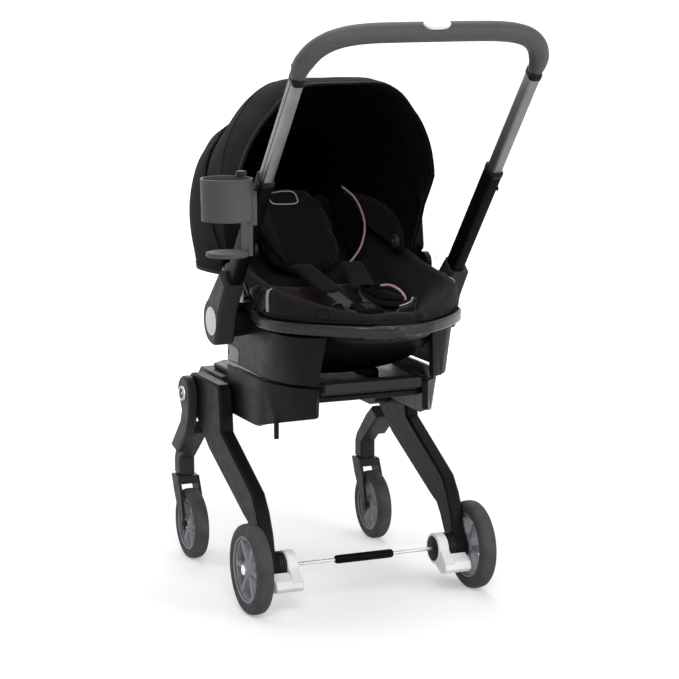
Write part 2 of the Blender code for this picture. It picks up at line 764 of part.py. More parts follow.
def grip_ring(index, line):
    """Section of the grip, square to its centre line."""
    x, rise = line[index]
    before = Vector(line[max(index - 1, 0)])
    after = Vector(line[min(index + 1, len(line) - 1)])
    forward = (after - before).normalized()
    out = Vector((-forward.y, forward.x))
    from_end = min(index, len(line) - 1 - index)
    share = (0.76, 0.88)[from_end] if from_end < 2 else 1.0
    ring = []
    for step in range(12):
        angle = 2.0 * math.pi * step / 12
        in_plane = 0.0162 * share * math.cos(angle)
        side_step = 0.0152 * share * math.sin(angle)
        y, z = along_handle(INNER_TOP + rise + out.y * in_plane, side_step)
        ring.append((x + out.x * in_plane, y, z))
    return ring


def make_grip():
    left = [(-x, rise) for x, rise in reversed(GRIP_LINE)]
    line = left + list(GRIP_LINE[1:])
    grip = loft("handle_grip", [grip_ring(index, line) for index in range(len(line))], grip_leather(), 60.0)
    return combine(grip, oval_block("pocket", 0.0240, 0.0105, 0.0960, 0.1150), "DIFFERENCE")


def oval_block(name, half_length, half_width, low, high, bevel=0.0):
    """Oval plug across the grip, between two heights above the inner tubes' tops."""
    shape = bmesh.new()
    rows = []
    levels = [(low, 0.0), (high - bevel, 0.0), (high, bevel)] if bevel else [(low, 0.0), (high, 0.0)]
    for rise, shrink in levels:
        row = []
        for step in range(20):
            angle = 2.0 * math.pi * step / 20
            cos_part = math.copysign(abs(math.cos(angle)) ** 0.8, math.cos(angle))
            y, z = along_handle(INNER_TOP + rise, (half_width - shrink) * math.sin(angle))
            row.append(shape.verts.new(((half_length - shrink) * cos_part, y, z)))
        rows.append(row)
    bridge(shape, rows)
    shape.faces.new(rows[0])
    shape.faces.new(rows[-1])
    return finish_object(name, shape, white_plastic())


def make_upper_handle():
    pieces = [make_grip()]
    for label, side in SIDES:
        name = "inner_tube_" + label
        pieces.append(hollow_tube(name, side * HANDLE_X, INNER_BOTTOM, INNER_TOP, INNER_TUBE, aluminium()))
    return pieces


def make_lower_handle():
    pieces = []
    for label, side in SIDES:
        pieces.append(make_hub_arm(label, side))
        name = "outer_tube_" + label
        pieces.append(hollow_tube(name, side * HANDLE_X, GAP, SLEEVE_TOP, OUTER_TUBE, black_plastic()))
    return pieces


def make_cup_holder():
    """Open ring, tray and struts that clip on the left outer tube, as one moulding."""
    centre_x, centre_y = CUP_CENTRE
    shape = bmesh.new()
    rows = []
    levels = ((CUP_RIM[0], 0.0405), (CUP_RIM[1], CUP_RADIUS), (CUP_RIM[1], CUP_RADIUS - CUP_WALL),
              (CUP_RIM[0], 0.0405 - CUP_WALL))
    for z, radius in levels:
        row = []
        for step in range(24):
            angle = 2.0 * math.pi * step / 24
            row.append(shape.verts.new((centre_x + radius * math.cos(angle),
                                        centre_y + radius * math.sin(angle), z)))
        rows.append(row)
    rows.append(rows[0])
    bridge(shape, rows)
    holder = finish_object("cup_holder", shape, grey_plastic(), 40.0)
    circle = arc((centre_x, centre_y), CUP_TRAY_RADIUS, 0, 337.5, 15)
    tray = prism("tray", circle, "Z", CUP_TRAY[0], CUP_TRAY[1], grey_plastic(), 0.001)
    strut_outline = [(0.030, -0.0165), (0.0375, -0.0165), (0.0375, 0.0165), (0.030, 0.0165)]
    strut_outline = [(centre_x + x, centre_y + y) for x, y in strut_outline]
    strut = prism("strut", strut_outline, "Z", CUP_TRAY[0] + 0.001, CUP_RIM[0] + 0.004, grey_plastic())
    clip_z = along_handle(0.165)[1]
    near = -HANDLE_X - OUTER_TUBE[0] / 2 - GAP
    far = centre_x + 0.0385
    low, high = clip_z - 0.024, clip_z + 0.030
    clip_outline = [(far, low), (far, high), (near, high), (near, low)]
    clip = prism("clip", clip_outline, "Y", centre_y - 0.014, centre_y + 0.014, grey_plastic())
    for tool in (tray, strut, clip):
        holder = combine(holder, tool, "UNION")
    return holder


# Legs, brake and casters

def make_rear_leg(label, side):
    """Leg plate: shoulder round the hub, straight box arm, curved shank and axle boss."""
    y0, z0 = REAR_AXLE
    outline = arc(LEG_HUB, 0.036, 90, -100, 8)
    outline += [(0.250, 0.2255), (0.079, 0.1460), (0.060, 0.1390), (0.045, 0.1220), (0.033, 0.1020)]
    outline += arc((y0, z0), BRAKE_DRUM_RADIUS + 0.001, 25, -200, 9)
    outline += [(-0.0070, 0.1060), (0.000, 0.1320), (0.018, 0.1670), (0.040, 0.1940), (0.187, 0.2690),
                (0.194, 0.3380), (0.204, 0.3480)]
    low, high = sorted((side * LEG_INNER_X, side * LEG_OUTER_X))
    leg = prism("rear_leg_" + label, outline, "X", low, high, leg_paint(), 0.0035)
    fit = LEG_PIN_RADIUS + 0.0004
    bore = [(side * 0.150, 0.0), (side * 0.150, fit), (side * 0.200, fit), (side * 0.200, 0.0)]
    leg = combine(leg, turned("bore", bore, LEG_HUB, leg_paint(), 16), "DIFFERENCE")
    drum = [(side * 0.1483, 0.0), (side * 0.1483, 0.0225), (side * 0.1495, BRAKE_DRUM_RADIUS),
            (side * (LEG_INNER_X + 0.006), BRAKE_DRUM_RADIUS), (side * (LEG_INNER_X + 0.006), 0.0)]
    return combine(leg, turned("drum", drum, REAR_AXLE, leg_paint(), 20), "UNION")


def make_front_leg(label, side):
    """Outboard head plate on the hub and a lower arm that bends down to the caster."""
    head_outline = arc(LEG_HUB, 0.031, 10, 190, 8)
    head_outline += [(0.3030, 0.2720), (0.3180, 0.2400), (0.3285, 0.2300), (0.3700, 0.1960),
                     (0.4040, 0.2040), (0.3700, 0.2390), (0.3490, 0.2600), (0.3410, 0.2800)]
    low, high = sorted((side * FRONT_HEAD_X[0], side * FRONT_HEAD_X[1]))
    head = prism("front_leg_" + label, head_outline, "X", low, high, leg_paint(), 0.003)
    lower_outline = [(0.3180, 0.2400), (0.3450, 0.2560), (0.3700, 0.2380), (0.4135, 0.1940),
                     (0.4215, 0.1780), (0.4215, CASTER_TOP), (0.3910, CASTER_TOP), (0.3910, 0.1780),
                     (0.3285, 0.2300)]
    low, high = sorted((side * FRONT_LEG_X[0], side * FRONT_LEG_X[1]))
    lower = prism("lower", lower_outline, "X", low, high, leg_paint(), 0.003)
    leg = combine(head, lower, "UNION")
    fit = LEG_PIN_RADIUS + 0.0004
    bore = [(side * 0.180, 0.0), (side * 0.180, fit), (side * 0.215, fit), (side * 0.215, 0.0)]
    leg = combine(leg, turned("bore", bore, LEG_HUB, leg_paint(), 16), "DIFFERENCE")
    circle = arc((side * FRONT_WHEEL_X, CASTER_Y), 0.0089, 0, 337.5, 15)
    socket = prism("socket", circle, "Z", 0.140, 0.1785, leg_paint())
    return combine(leg, socket, "DIFFERENCE")


def make_axle(name, side, inner_x, outer_x, place, head):
    """Axle stub with a domed screw head outside the rim."""
    shank = AXLE_RADIUS - 0.0005
    half_profile = [(inner_x, 0.0), (inner_x, shank), (outer_x, shank), (outer_x, head),
                    (outer_x + 0.002, head * 0.8), (outer_x + 0.003, 0.0)]
    profile = [(side * x, radius) for x, radius in half_profile]
    return turned(name, profile, place, steel(), 16)


def make_brake(label, side):
    """White ring inboard of the drum, with the foot pedal that hangs behind and below the drum."""
    low, high = sorted((side * 0.1290, side * 0.1480))
    circle = arc(REAR_AXLE, 0.0262, 0, 340, 17)
    ring = prism("brake_pedal_" + label, circle, "X", low, high, white_plastic(), 0.0012)
    outline = arc(REAR_AXLE, 0.0270, 190, 250, 4)
    outline += [(-0.0300, 0.0400), (-0.0460, 0.0430), (-0.0520, 0.0500), (-0.0470, 0.0620)]
    low, high = sorted((side * 0.1290, side * 0.1780))
    blade = prism("blade", outline, "X", low, high, white_plastic(), 0.0012)
    web_outline = [(-0.0240, 0.0800), (-0.0500, 0.0600), (-0.0320, 0.0420), (-0.0050, 0.0520)]
    low, high = sorted((side * 0.1302, side * 0.1470))
    web = prism("web", web_outline, "X", low, high, white_plastic())
    return combine(combine(ring, web, "UNION"), blade, "UNION")


def make_brake_link():
    """Steel rod between the two pedals, and the grip sleeve round its middle."""
    rod_profile = [(-0.1287, 0.0), (-0.1287, 0.0030), (0.1287, 0.0030), (0.1287, 0.0)]
    sleeve_profile = [(-0.0500, 0.0033), (-0.0500, 0.0066), (-0.0488, 0.0074), (0.0488, 0.0074),
                      (0.0500, 0.0066), (0.0500, 0.0033)]
    rod = turned("brake_link_rod", rod_profile, REAR_AXLE, steel(), 16)
    return [rod, turned("brake_link_sleeve", sleeve_profile, REAR_AXLE, rubber(), 20)]


def make_caster(label, side):
    """Fork with two blades, crown and stem."""
    centre_x = side * FRONT_WHEEL_X
    axle = (FRONT_WHEEL_Y, FRONT_WHEEL_RADIUS)
    blade_outline = arc(axle, 0.0115, 195, 395, 8)
    blade_outline += [(0.4080, 0.1180), (0.4210, 0.1462), (0.3860, 0.1462), (0.3700, 0.1150)]
    inner = FRONT_WHEEL_WIDTH / 2 + 0.0025
    outer = inner + 0.0050
    crown_outline = [(0.3800, 0.1335), (0.3860, 0.1466), (0.4210, 0.1466), (0.4155, 0.1335)]
    ends = (centre_x - outer, centre_x + outer)
    fork = prism("caster_fork_" + label, crown_outline, "X", ends[0], ends[1], black_plastic(), 0.001)
    for direction in (-1.0, 1.0):
        low, high = sorted((centre_x + direction * inner, centre_x + direction * outer))
        fork = combine(fork, prism("blade", blade_outline, "X", low, high, black_plastic()), "UNION")
    circle = arc((centre_x, CASTER_Y), 0.0085, 0, 337.5, 15)
    fork = combine(fork, prism("stem", circle, "Z", 0.140, 0.1775, black_plastic()), "UNION")
    shank = AXLE_RADIUS - 0.0005
    pin_profile = [(ends[0] - 0.001, 0.0), (ends[0] - 0.001, shank), (ends[1] + 0.001, shank),
                   (ends[1] + 0.001, 0.0)]
    return combine(fork, turned("pin", pin_profile, axle, black_plastic(), 16), "UNION")


def make_wheel(prefix, centre_x, place, radius, width):
    """Tyre and spoked rim round an X axis."""
    rim_radius = radius * RIM_SHARE
    half = width / 2
    crown = [(-0.72, 0.0), (-1.0, 0.12), (-0.95, 0.60), (-0.50, 0.94), (0.0, 1.0), (0.50, 0.94),
             (0.95, 0.60), (1.0, 0.12), (0.72, 0.0)]
    rise = radius - rim_radius
    tyre_profile = [(centre_x + half * across, rim_radius + rise * up) for across, up in crown]
    tyre = turned(prefix + "_tyre", tyre_profile, place, rubber(), WHEEL_STEPS, 50.0)
    rim_half = half * 0.80
    outer = rim_radius - GAP
    rim_profile = [(centre_x - rim_half, AXLE_RADIUS), (centre_x - rim_half, 0.0125),
                   (centre_x - rim_half * 0.62, 0.0165), (centre_x - rim_half * 0.80, outer),
                   (centre_x + rim_half * 0.80, outer), (centre_x + rim_half * 0.62, 0.0165),
                   (centre_x + rim_half, 0.0125), (centre_x + rim_half, AXLE_RADIUS)]
    rim = turned(prefix + "_rim", rim_profile, place, rim_plastic(), WHEEL_STEPS)
    return [tyre, combine(rim, spoke_windows(centre_x, place, 0.0185, outer - 0.0065, half), "DIFFERENCE")]


def spoke_windows(centre_x, place, inner, outer, half):
    """Six separate wedges that open the rim between its spokes."""
    shape = bmesh.new()
    pitch = 2.0 * math.pi / SPOKES
    for index in range(SPOKES):
        middle = pitch * (index + 0.5)
        inner_angle = pitch / 2 - 0.0032 / inner
        outer_angle = pitch / 2 - 0.0045 / outer
        corners = [(inner, -inner_angle), (outer, -outer_angle), (outer + 0.001, 0.0), (outer, outer_angle),
                   (inner, inner_angle)]
        ends = []
        for x in (centre_x - half - 0.01, centre_x + half + 0.01):
            row = []
            for radius, turn in corners:
                y = place[0] + radius * math.cos(middle + turn)
                z = place[1] + radius * math.sin(middle + turn)
                row.append(shape.verts.new((x, y, z)))
            ends.append(row)
        bridge(shape, ends)
        shape.faces.new(ends[0])
        shape.faces.new(ends[1])
    return finish_object("windows", shape, rim_plastic())


def build_carrier():
    carrier = add_body("carrier", None, (0.0, 0.0, 0.0))
    pieces = [make_shell(), make_liner(), make_head_support()]
    for label, side in SIDES:
        pieces += [make_wing(label, side), make_bolster(label, side)]
    pieces += make_harness() + make_side_panels() + make_base() + make_canopy_knobs()
    pieces.append(make_canopy_rear())
    attach(pieces, carrier)
    button = add_body("buckle_button_body", carrier, (0.0, -0.016, 0.509))
    attach([make_buckle_button()], button)
    return carrier


def build_canopy(carrier):
    place = (0.0, CANOPY_PIVOT[0], CANOPY_PIVOT[1])
    middle = add_body("canopy_middle_body", carrier, place)
    attach([canopy_panel("canopy_middle", 1, 44, 75, 4)], middle)
    front = add_body("canopy_front_body", middle, place)
    attach([canopy_panel("canopy_front", 2, 73, 102, 4, 1.0)], front)


def build_handle(carrier):
    lower = add_body("handle_lower", carrier, (0.0, HANDLE_HUB[0], HANDLE_HUB[1]))
    attach(make_lower_handle() + [make_cup_holder()], lower)
    for label, side in SIDES:
        button = add_body("hub_button_body_" + label, lower, (side * 0.2145, HANDLE_HUB[0], HANDLE_HUB[1]))
        attach([make_hub_button(label, side)], button)
    y, z = along_handle(INNER_BOTTOM)
    upper = add_body("handle_upper", lower, (0.0, y, z))
    attach(make_upper_handle(), upper)
    y, z = along_handle(INNER_TOP + 0.0990)
    release = add_body("grip_button_body", upper, (0.0, y, z))
    attach([oval_block("grip_button", 0.0232, 0.0097, 0.0993, 0.1058, 0.0015)], release)


def build_rear(carrier):
    legs = add_body("rear_legs", carrier, (0.0, LEG_HUB[0], LEG_HUB[1]))
    brake = add_body("brake", legs, (0.0, REAR_AXLE[0], REAR_AXLE[1]))
    attach(make_brake_link(), brake)
    for label, side in SIDES:
        head_x = REAR_WHEEL_X + REAR_WHEEL_WIDTH * 0.4 + GAP
        axle = make_axle("rear_axle_" + label, side, LEG_OUTER_X + GAP, head_x, REAR_AXLE, 0.0085)
        attach([make_rear_leg(label, side), axle], legs)
        attach([make_brake(label, side)], brake)
        place = (side * REAR_WHEEL_X, REAR_AXLE[0], REAR_AXLE[1])
        wheel = add_body("rear_wheel_body_" + label, legs, place)
        attach(make_wheel("rear_" + label, place[0], REAR_AXLE, REAR_WHEEL_RADIUS, REAR_WHEEL_WIDTH), wheel)


def build_front(carrier):
    legs = add_body("front_legs", carrier, (0.0, LEG_HUB[0], LEG_HUB[1]))
    for label, side in SIDES:
        attach([make_front_leg(label, side)], legs)
        caster = add_body("caster_body_" + label, legs, (side * FRONT_WHEEL_X, CASTER_Y, 0.1466))
        attach([make_caster(label, side)], caster)
        place = (side * FRONT_WHEEL_X, FRONT_WHEEL_Y, FRONT_WHEEL_RADIUS)
        wheel = add_body("front_wheel_body_" + label, caster, place)
        pieces = make_wheel("front_" + label, place[0], place[1:], FRONT_WHEEL_RADIUS, FRONT_WHEEL_WIDTH)
        attach(pieces, wheel)


def main():
    clear_scene()
    carrier = build_carrier()
    build_canopy(carrier)
    build_handle(carrier)
    build_rear(carrier)
    build_front(carrier)


main()
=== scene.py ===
"""Travel system stroller: finish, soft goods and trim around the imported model.

Metres. Places are given from the point on the floor under the middle of the rear axle:
x to the right of the middle, y in the travel direction, z up.
"""
import math

import bpy
import bmesh
import numpy as np
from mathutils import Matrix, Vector, noise
from mathutils.bvhtree import BVHTree


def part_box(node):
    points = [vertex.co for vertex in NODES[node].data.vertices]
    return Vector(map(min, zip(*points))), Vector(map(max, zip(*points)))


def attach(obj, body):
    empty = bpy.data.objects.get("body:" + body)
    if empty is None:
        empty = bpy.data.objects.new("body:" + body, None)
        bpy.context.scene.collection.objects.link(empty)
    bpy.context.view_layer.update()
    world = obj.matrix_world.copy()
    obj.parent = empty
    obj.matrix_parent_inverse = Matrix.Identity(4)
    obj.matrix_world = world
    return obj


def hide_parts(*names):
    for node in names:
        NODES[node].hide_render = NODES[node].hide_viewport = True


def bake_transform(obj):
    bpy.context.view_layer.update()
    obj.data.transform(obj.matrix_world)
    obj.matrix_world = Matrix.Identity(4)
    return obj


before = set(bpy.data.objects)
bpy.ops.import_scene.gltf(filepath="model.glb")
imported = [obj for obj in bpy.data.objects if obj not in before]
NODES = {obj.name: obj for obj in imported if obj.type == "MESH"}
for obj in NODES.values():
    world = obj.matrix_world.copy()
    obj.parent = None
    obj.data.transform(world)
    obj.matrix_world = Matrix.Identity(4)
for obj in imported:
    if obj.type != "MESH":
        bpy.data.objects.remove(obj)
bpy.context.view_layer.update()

# The floor point under the rear axle, read from the frame
TRAY_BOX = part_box("base_tray")
AXLE_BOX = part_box("rear_axle_left")
MIDDLE_X = (TRAY_BOX[0][0] + TRAY_BOX[1][0]) / 2
AXLE_Y = (AXLE_BOX[0][1] + AXLE_BOX[1][1]) / 2

SIDES = (("left", -1.0), ("right", 1.0))

# Handle line: foot of the tubes and the direction in which they lean
HANDLE_FOOT = (0.073, 0.554)
HANDLE_LEAN = (-0.633, 0.774)
HANDLE_HUB = (0.130, 0.474)
HANDLE_X = 0.2015
SLEEVE_TOP = 0.2303
INNER_TUBE_TOP = 0.4456

# Canopy: hinge axis, nesting of its three panels and the angles they span, up from +Y
CANOPY_PIVOT = (0.150, 0.548)
CANOPY_PITCH = 0.0024
CANOPY_CLOTH = 0.0012
REAR_PANEL = (-4.0, 47.0)
MIDDLE_PANEL = (44.0, 75.0)
FRONT_PANEL = (73.0, 102.0)
CANOPY_SECTION = ((0.0, 0.3315), (0.045, 0.3315), (0.076, 0.3285), (0.108, 0.3105), (0.133, 0.2815),
                  (0.151, 0.2580), (0.171, 0.2170), (0.184, 0.1645), (0.188, 0.1050), (0.188, 0.0680),
                  (0.186, 0.0300))
REAR_SWELL = ((-4.0, 0.910), (4.0, 0.985), (12.0, 1.095), (20.0, 1.165), (28.0, 1.175), (35.0, 1.145),
              (41.0, 1.075), (47.0, 1.006))
FRONT_TUCK = ((0.030, 0.850), (0.068, 0.880), (0.105, 0.905), (0.160, 1.0))

# Shell: y, half width of the lip, rim height, bottom height, half width of the body, lip depth
SHELL_STATIONS = (
    (-0.139, 0.018, 0.494, 0.472, 0.010, 0.014),
    (-0.136, 0.034, 0.494, 0.469, 0.022, 0.016),
    (-0.128, 0.054, 0.494, 0.466, 0.036, 0.017),
    (-0.113, 0.080, 0.494, 0.462, 0.056, 0.017),
    (-0.093, 0.106, 0.494, 0.457, 0.078, 0.017),
    (-0.070, 0.130, 0.494, 0.450, 0.088, 0.017),
    (-0.045, 0.151, 0.494, 0.439, 0.092, 0.017),
    (-0.020, 0.166, 0.494, 0.425, 0.118, 0.017),
    (0.010, 0.1735, 0.494, 0.408, 0.133, 0.017),
    (0.040, 0.175, 0.495, 0.392, 0.146, 0.017),
    (0.070, 0.175, 0.506, 0.383, 0.148, 0.020),
    (0.100, 0.175, 0.530, 0.375, 0.149, 0.028),
    (0.130, 0.175, 0.551, 0.375, 0.149, 0.034),
    (0.200, 0.173, 0.565, 0.375, 0.147, 0.034),
    (0.300, 0.160, 0.588, 0.378, 0.134, 0.034),
    (0.370, 0.140, 0.612, 0.405, 0.114, 0.034),
    (0.415, 0.115, 0.630, 0.460, 0.089, 0.034),
    (0.440, 0.088, 0.641, 0.530, 0.064, 0.034),
    (0.453, 0.055, 0.648, 0.595, 0.040, 0.029),
    (0.457, 0.035, 0.650, 0.625, 0.026, 0.014),
)
SEAT_LINE = ((-0.130, 0.509), (-0.113, 0.512), (-0.095, 0.487), (-0.045, 0.462), (0.000, 0.440),
             (0.050, 0.436), (0.110, 0.452), (0.200, 0.505), (0.290, 0.558), (0.370, 0.600), (0.430, 0.628))
WALL_TOP = ((-0.130, 0.511), (-0.100, 0.518), (-0.060, 0.530), (-0.020, 0.540), (0.040, 0.547),
            (0.100, 0.554), (0.160, 0.562), (0.200, 0.572), (0.300, 0.598), (0.370, 0.622), (0.430, 0.645))
SHELL_WALL = 0.005
BODY_BELOW_LIP = 0.004

# How square the bowls of the shell and of the cover are
BOWL_POWER = 2.6

# Bead round the foot end of the lip: where it starts, how it sits on the lip, and its end points
# there as (share of the half width, distance from the foot)
LIP_START = 0.060
LIP_DROP = 0.0090
LIP_INSET = 0.0034
LIP_FOOT = -0.1395
LIP_TIP = ((0.80, 0.0030), (0.45, 0.0))

# Painted shade: the shell's foot end is made deep black up to this y and below this height, under its lip
SHADE_UNTIL = 0.10
SHADE_BELOW = 0.472

# Seat cover: clearance to the shell, thickness, the roll along its top edge, its ends, and the
# largest share of the half width that its wall takes
LINER_CLEARANCE = 0.0022
LINER_THICKNESS = 0.018
ROLL_INSET = 0.005
ROLL_THICKNESS = 0.014
LINER_ENDS = (-0.125, 0.424)
WALL_SHARE = 0.30

# Head support: middle of its top face (y, z), its tilt, how far its sides turn up and from where
HEAD_CENTRE = (0.262, 0.607)
HEAD_TILT = math.radians(42.0)
HEAD_HALF_LENGTH = 0.099
HEAD_HALF_WIDTH = 0.103
HEAD_CUP = 0.031
CUP_FROM = 0.035

# Its cushion with patch and seam, then its side flaps and their piping, all in its own plane
CUSHION_SHIFT = -0.019
CUSHION_HALF_WIDTH = 0.080
CUSHION_SINK = 0.0125
CUSHION_HALF_THICKNESS = 0.0135
PAD_ROUNDNESS = 0.62
PATCH_HALF = (0.0265, 0.0160)
PATCH_MIDDLE = (-0.026, 0.061)
HEAD_SEAM_HALF = (0.0690, 0.0860)
FLAP_SINK = 0.0085
FLAP_HALF_THICKNESS = 0.0070
SIDE_FLAP = ((0.060, -0.086), (0.078, -0.068), (0.094, -0.036), (0.0995, 0.000), (0.096, 0.036),
             (0.084, 0.066), (0.064, 0.084), (0.058, 0.030), (0.057, -0.030))
HEAD_PIPING = ((0.046, -0.098), (0.062, -0.087), (0.079, -0.069), (0.094, -0.036), (0.0995, 0.0),
               (0.096, 0.036), (0.084, 0.066))

# Head wings: outline (y, z), the outer face, how far inside it the pad lies and its thickness
WING_OUTLINE = ((0.155, 0.5680), (0.205, 0.5780), (0.300, 0.6010), (0.368, 0.6245), (0.394, 0.6400),
                (0.380, 0.6530), (0.330, 0.6570), (0.270, 0.6550), (0.205, 0.6360), (0.163, 0.6050))
WING_OUTSIDE = 0.149
WING_SINK = 0.009
WING_HALF_THICKNESS = 0.0078

# Body insert: thin pad, how much its foot end narrows, the bolsters at its sides, its two quilted
# channels and its climb at the foot
INSERT_HALF_WIDTH = 0.100
INSERT_ENDS = (-0.060, 0.200)
INSERT_THICKNESS = 0.010
INSERT_LIFT = 0.0040
FOOT_TAPER = 0.24
BOLSTER_X = 0.058
BOLSTER_ENDS = (0.008, 0.130)
BOLSTER_LIFT = 0.019
BOLSTER_RADIUS = 0.0140
BOLSTER_TIP = 0.003
QUILT_PLACE = 0.45
QUILT_WIDTH = 0.05
QUILT_DEPTH = 0.0025
FOOT_CLIMB = 0.030

# Pads: rings from lid to edge, reach of the flat lid, frames of the cloth simulation
PAD_RINGS = 7
PAD_LID = 0.97
PUFF_FRAMES = 20

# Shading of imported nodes: vertices closer than this are joined, edges below this angle are smooth
JOIN_DISTANCE = 0.00001
SMOOTH_ANGLE = 42.0

# Grip: half of its centre line as (x, rise above the inner tubes), half sizes and its button's pocket
GRIP_LINE = ((0.0, 0.0870), (0.060, 0.0870), (0.105, 0.0860), (0.140, 0.0815), (0.167, 0.0715),
             (0.187, 0.0540), (0.1985, 0.0310), (0.2015, 0.0150), (0.2015, 0.0003))
GRIP_HALF = (0.0162, 0.0152)
GRIP_SLIM = ((0.0, 0.70), (0.0015, 0.76), (0.0147, 0.88), (0.031, 1.0))
BUTTON_POCKET = (0.0240, 0.0105, 0.0960, 0.1150)

# Section of a tyre from the rim outward: share of the half width, share of the depth
TYRE_SECTION = ((0.80, 0.0), (0.95, 0.06), (1.0, 0.26), (0.995, 0.40), (0.92, 0.425), (0.985, 0.46),
                (0.965, 0.60), (0.88, 0.79), (0.68, 0.925), (0.38, 0.985), (0.0, 1.0))

# Turned profiles: distance along the axis and radius; the rim bead's radius counts from the rim
RIM_BEAD = ((-0.0010, -0.0034), (0.0006, -0.0030), (0.0012, -0.0018), (0.0010, 0.0004), (-0.0010, 0.0008))
AXLE_SCREW = ((-0.0010, 0.0086), (0.0006, 0.0086), (0.0014, 0.0074), (0.0016, 0.0040), (0.0006, 0.0036),
              (0.0006, 0.0004))
SLEEVE_END = ((-0.0005, 0.0071), (0.0016, 0.0066), (0.0030, 0.0050), (0.0034, 0.0032))
DRUM_RIB = ((-0.0008, 0.0240), (-0.0008, 0.0254), (0.0008, 0.0254), (0.0008, 0.0240))
BRAKE_DISC = ((0.0, 0.0215), (0.0009, 0.0215), (0.0014, 0.0205), (0.0014, 0.0100), (0.0022, 0.0094),
              (0.0022, 0.0034))
HUB_DISC = ((-0.0004, 0.0190), (0.0004, 0.0190), (0.0008, 0.0180), (0.0005, 0.0004))
LEG_RING = ((-0.0004, 0.0098), (0.0012, 0.0102), (0.0016, 0.0112), (0.0012, 0.0124), (-0.0004, 0.0128))
LEG_CAP = ((-0.0003, 0.0098), (0.0004, 0.0096), (0.0006, 0.0040), (-0.0002, 0.0036), (-0.0002, 0.0004))
CUP_KNOB = ((-0.0004, 0.0086), (0.0056, 0.0090), (0.0080, 0.0078), (0.0086, 0.0040), (0.0086, 0.0004))
HOOD_KNOB = ((-0.0020, 0.0122), (0.0036, 0.0122), (0.0050, 0.0108), (0.0050, 0.0048), (0.0036, 0.0044),
             (0.0036, 0.0004))

# Places of small parts on the right side, and of the cup holder's knob on the left
DRUM_RIB_X = (0.1525, 0.1560, 0.1595)
BRAKE_DISC_X = 0.1290
GROOVE_X = 0.2101
HUB_FACE_X = 0.2250
TUBE_RIVET = (0.2129, -0.0610, 0.6980)
GRIP_RIVET = (0.2150, -0.2110, 0.9170)
LEG_PIVOT = (0.330, 0.312)
HOOD_KNOB_PLACE = (0.1322, 0.168, 0.586)
CUP_KNOB_PLACE = (-0.2240, -0.0226, 0.7326)

# Brake cable: number of strands and the length in which they turn once
CABLE_STRANDS = 6
CABLE_TWIST = 0.042

# Outlines (y, z) of the plates on the carrier's sides, and a place outside of them. The light strips among
# them are painted reflection: the white studio caught on the glossy shell and along the belt guide's edge.
BELT_GUIDE = ((0.112, 0.494), (0.098, 0.516), (0.0705, 0.538), (0.026, 0.545), (0.006, 0.524),
              (0.024, 0.503), (0.070, 0.492))
GUIDE_REFLECTION = ((0.0125, 0.541), (0.0085, 0.542), (0.0045, 0.524), (0.0035, 0.507), (0.0075, 0.506),
               (0.0085, 0.524))
SHELL_REFLECTION = ((0.262, 0.484), (0.289, 0.488), (0.291, 0.536), (0.264, 0.532))
LOWER_REFLECTION = ((0.172, 0.390), (0.222, 0.390), (0.222, 0.414), (0.172, 0.414))
PLATE_OUTSIDE = 0.19

# Trim on the cover: ends (x) of the insert's foot piping, the strap end's piping and outline, the
# small loop, and the seam round the wall
FOOT_PIPING_ENDS = (0.040, 0.066)
STRAP_END_PIPING = ((0.052, 0.050, 0.529), (0.063, 0.040, 0.5305), (0.070, 0.024, 0.527),
                    (0.0745, 0.010, 0.520), (0.075, 0.000, 0.511))
STRAP_END = ((0.018, 0.066), (0.040, 0.062), (0.060, 0.048), (0.071, 0.026), (0.075, 0.002), (0.066, -0.008),
             (0.044, -0.008), (0.026, 0.010), (0.018, 0.040))
LOOP_PLACE = (-0.112, -0.088, 0.5105)
LOOP_HALF = (0.0105, 0.0080)
WALL_CENTRE_Y = 0.14
SEAM_RISE = 0.0085
SEAM_ENDS = (0.400, -0.105)

# Width and height of cords, straps, pipings, bindings and collars
LIP_SIZE = (0.0124, 0.0188)
HEM_SIZE = (0.0070, 0.0026)
REAR_SEAM_SIZE = (0.0042, 0.0020)
CASING_SIZE = (0.0110, 0.0034)
BINDING_SIZE = (0.0130, 0.0034)
HEAD_PIPING_SIZE = (0.0038, 0.0038)
PATCH_LINE_SIZE = (0.0024, 0.0014)
FOOT_PIPING_SIZE = (0.0026, 0.0022)
STRAP_PIPING_SIZE = (0.0052, 0.0046)
LOOP_SIZE = (0.0022, 0.0018)
STRAP_SIZE = (0.0250, 0.0018)
STRAP_PAD_SIZE = (0.0400, 0.0090)
CROTCH_SIZE = (0.0290, 0.0020)
GROOVE_SIZE = (0.0034, 0.0007)
SLEEVE_COLLAR_SIZE = (0.0348, 0.0252)
GRIP_COLLAR_SIZE = (0.0288, 0.0214)

# Harness: middle line of the right shoulder strap, and the crotch strap's (y, z)
STRAP_LINE = ((0.047, 0.176, 0.549), (0.045, 0.156, 0.548), (0.036, 0.100, 0.531), (0.026, 0.045, 0.513),
              (0.0185, 0.012, 0.503))
CROTCH_LINE = ((-0.056, 0.4715), (-0.047, 0.484), (-0.033, 0.4935))

# Directions
RIGHTWARD = Vector((1.0, 0.0, 0.0))
FORWARD = Vector((0.0, 1.0, 0.0))
UPWARD = Vector((0.0, 0.0, 1.0))

# Studio: glow of the floor near and far from the object, the distances where it changes, sky
FLOOR_GLOW = (0.34, 1.0)
FLOOR_REACH = (0.9, 3.6)
WORLD_STRENGTH = 0.26
FLOOR_HALF = 60.0
LAMP_AIM = (0.0, 0.15, 0.50)
LAMPS = (("key", (-1.1, -2.9, 2.6), 1.8, 52.0), ("fill", (1.9, -2.6, 1.3), 2.0, 30.0),
         ("top", (0.2, 0.4, 3.1), 2.4, 34.0), ("back", (0.6, 2.9, 1.9), 2.0, 22.0),
         ("rear left", (-2.3, 1.6, 2.4), 1.6, 14.0))

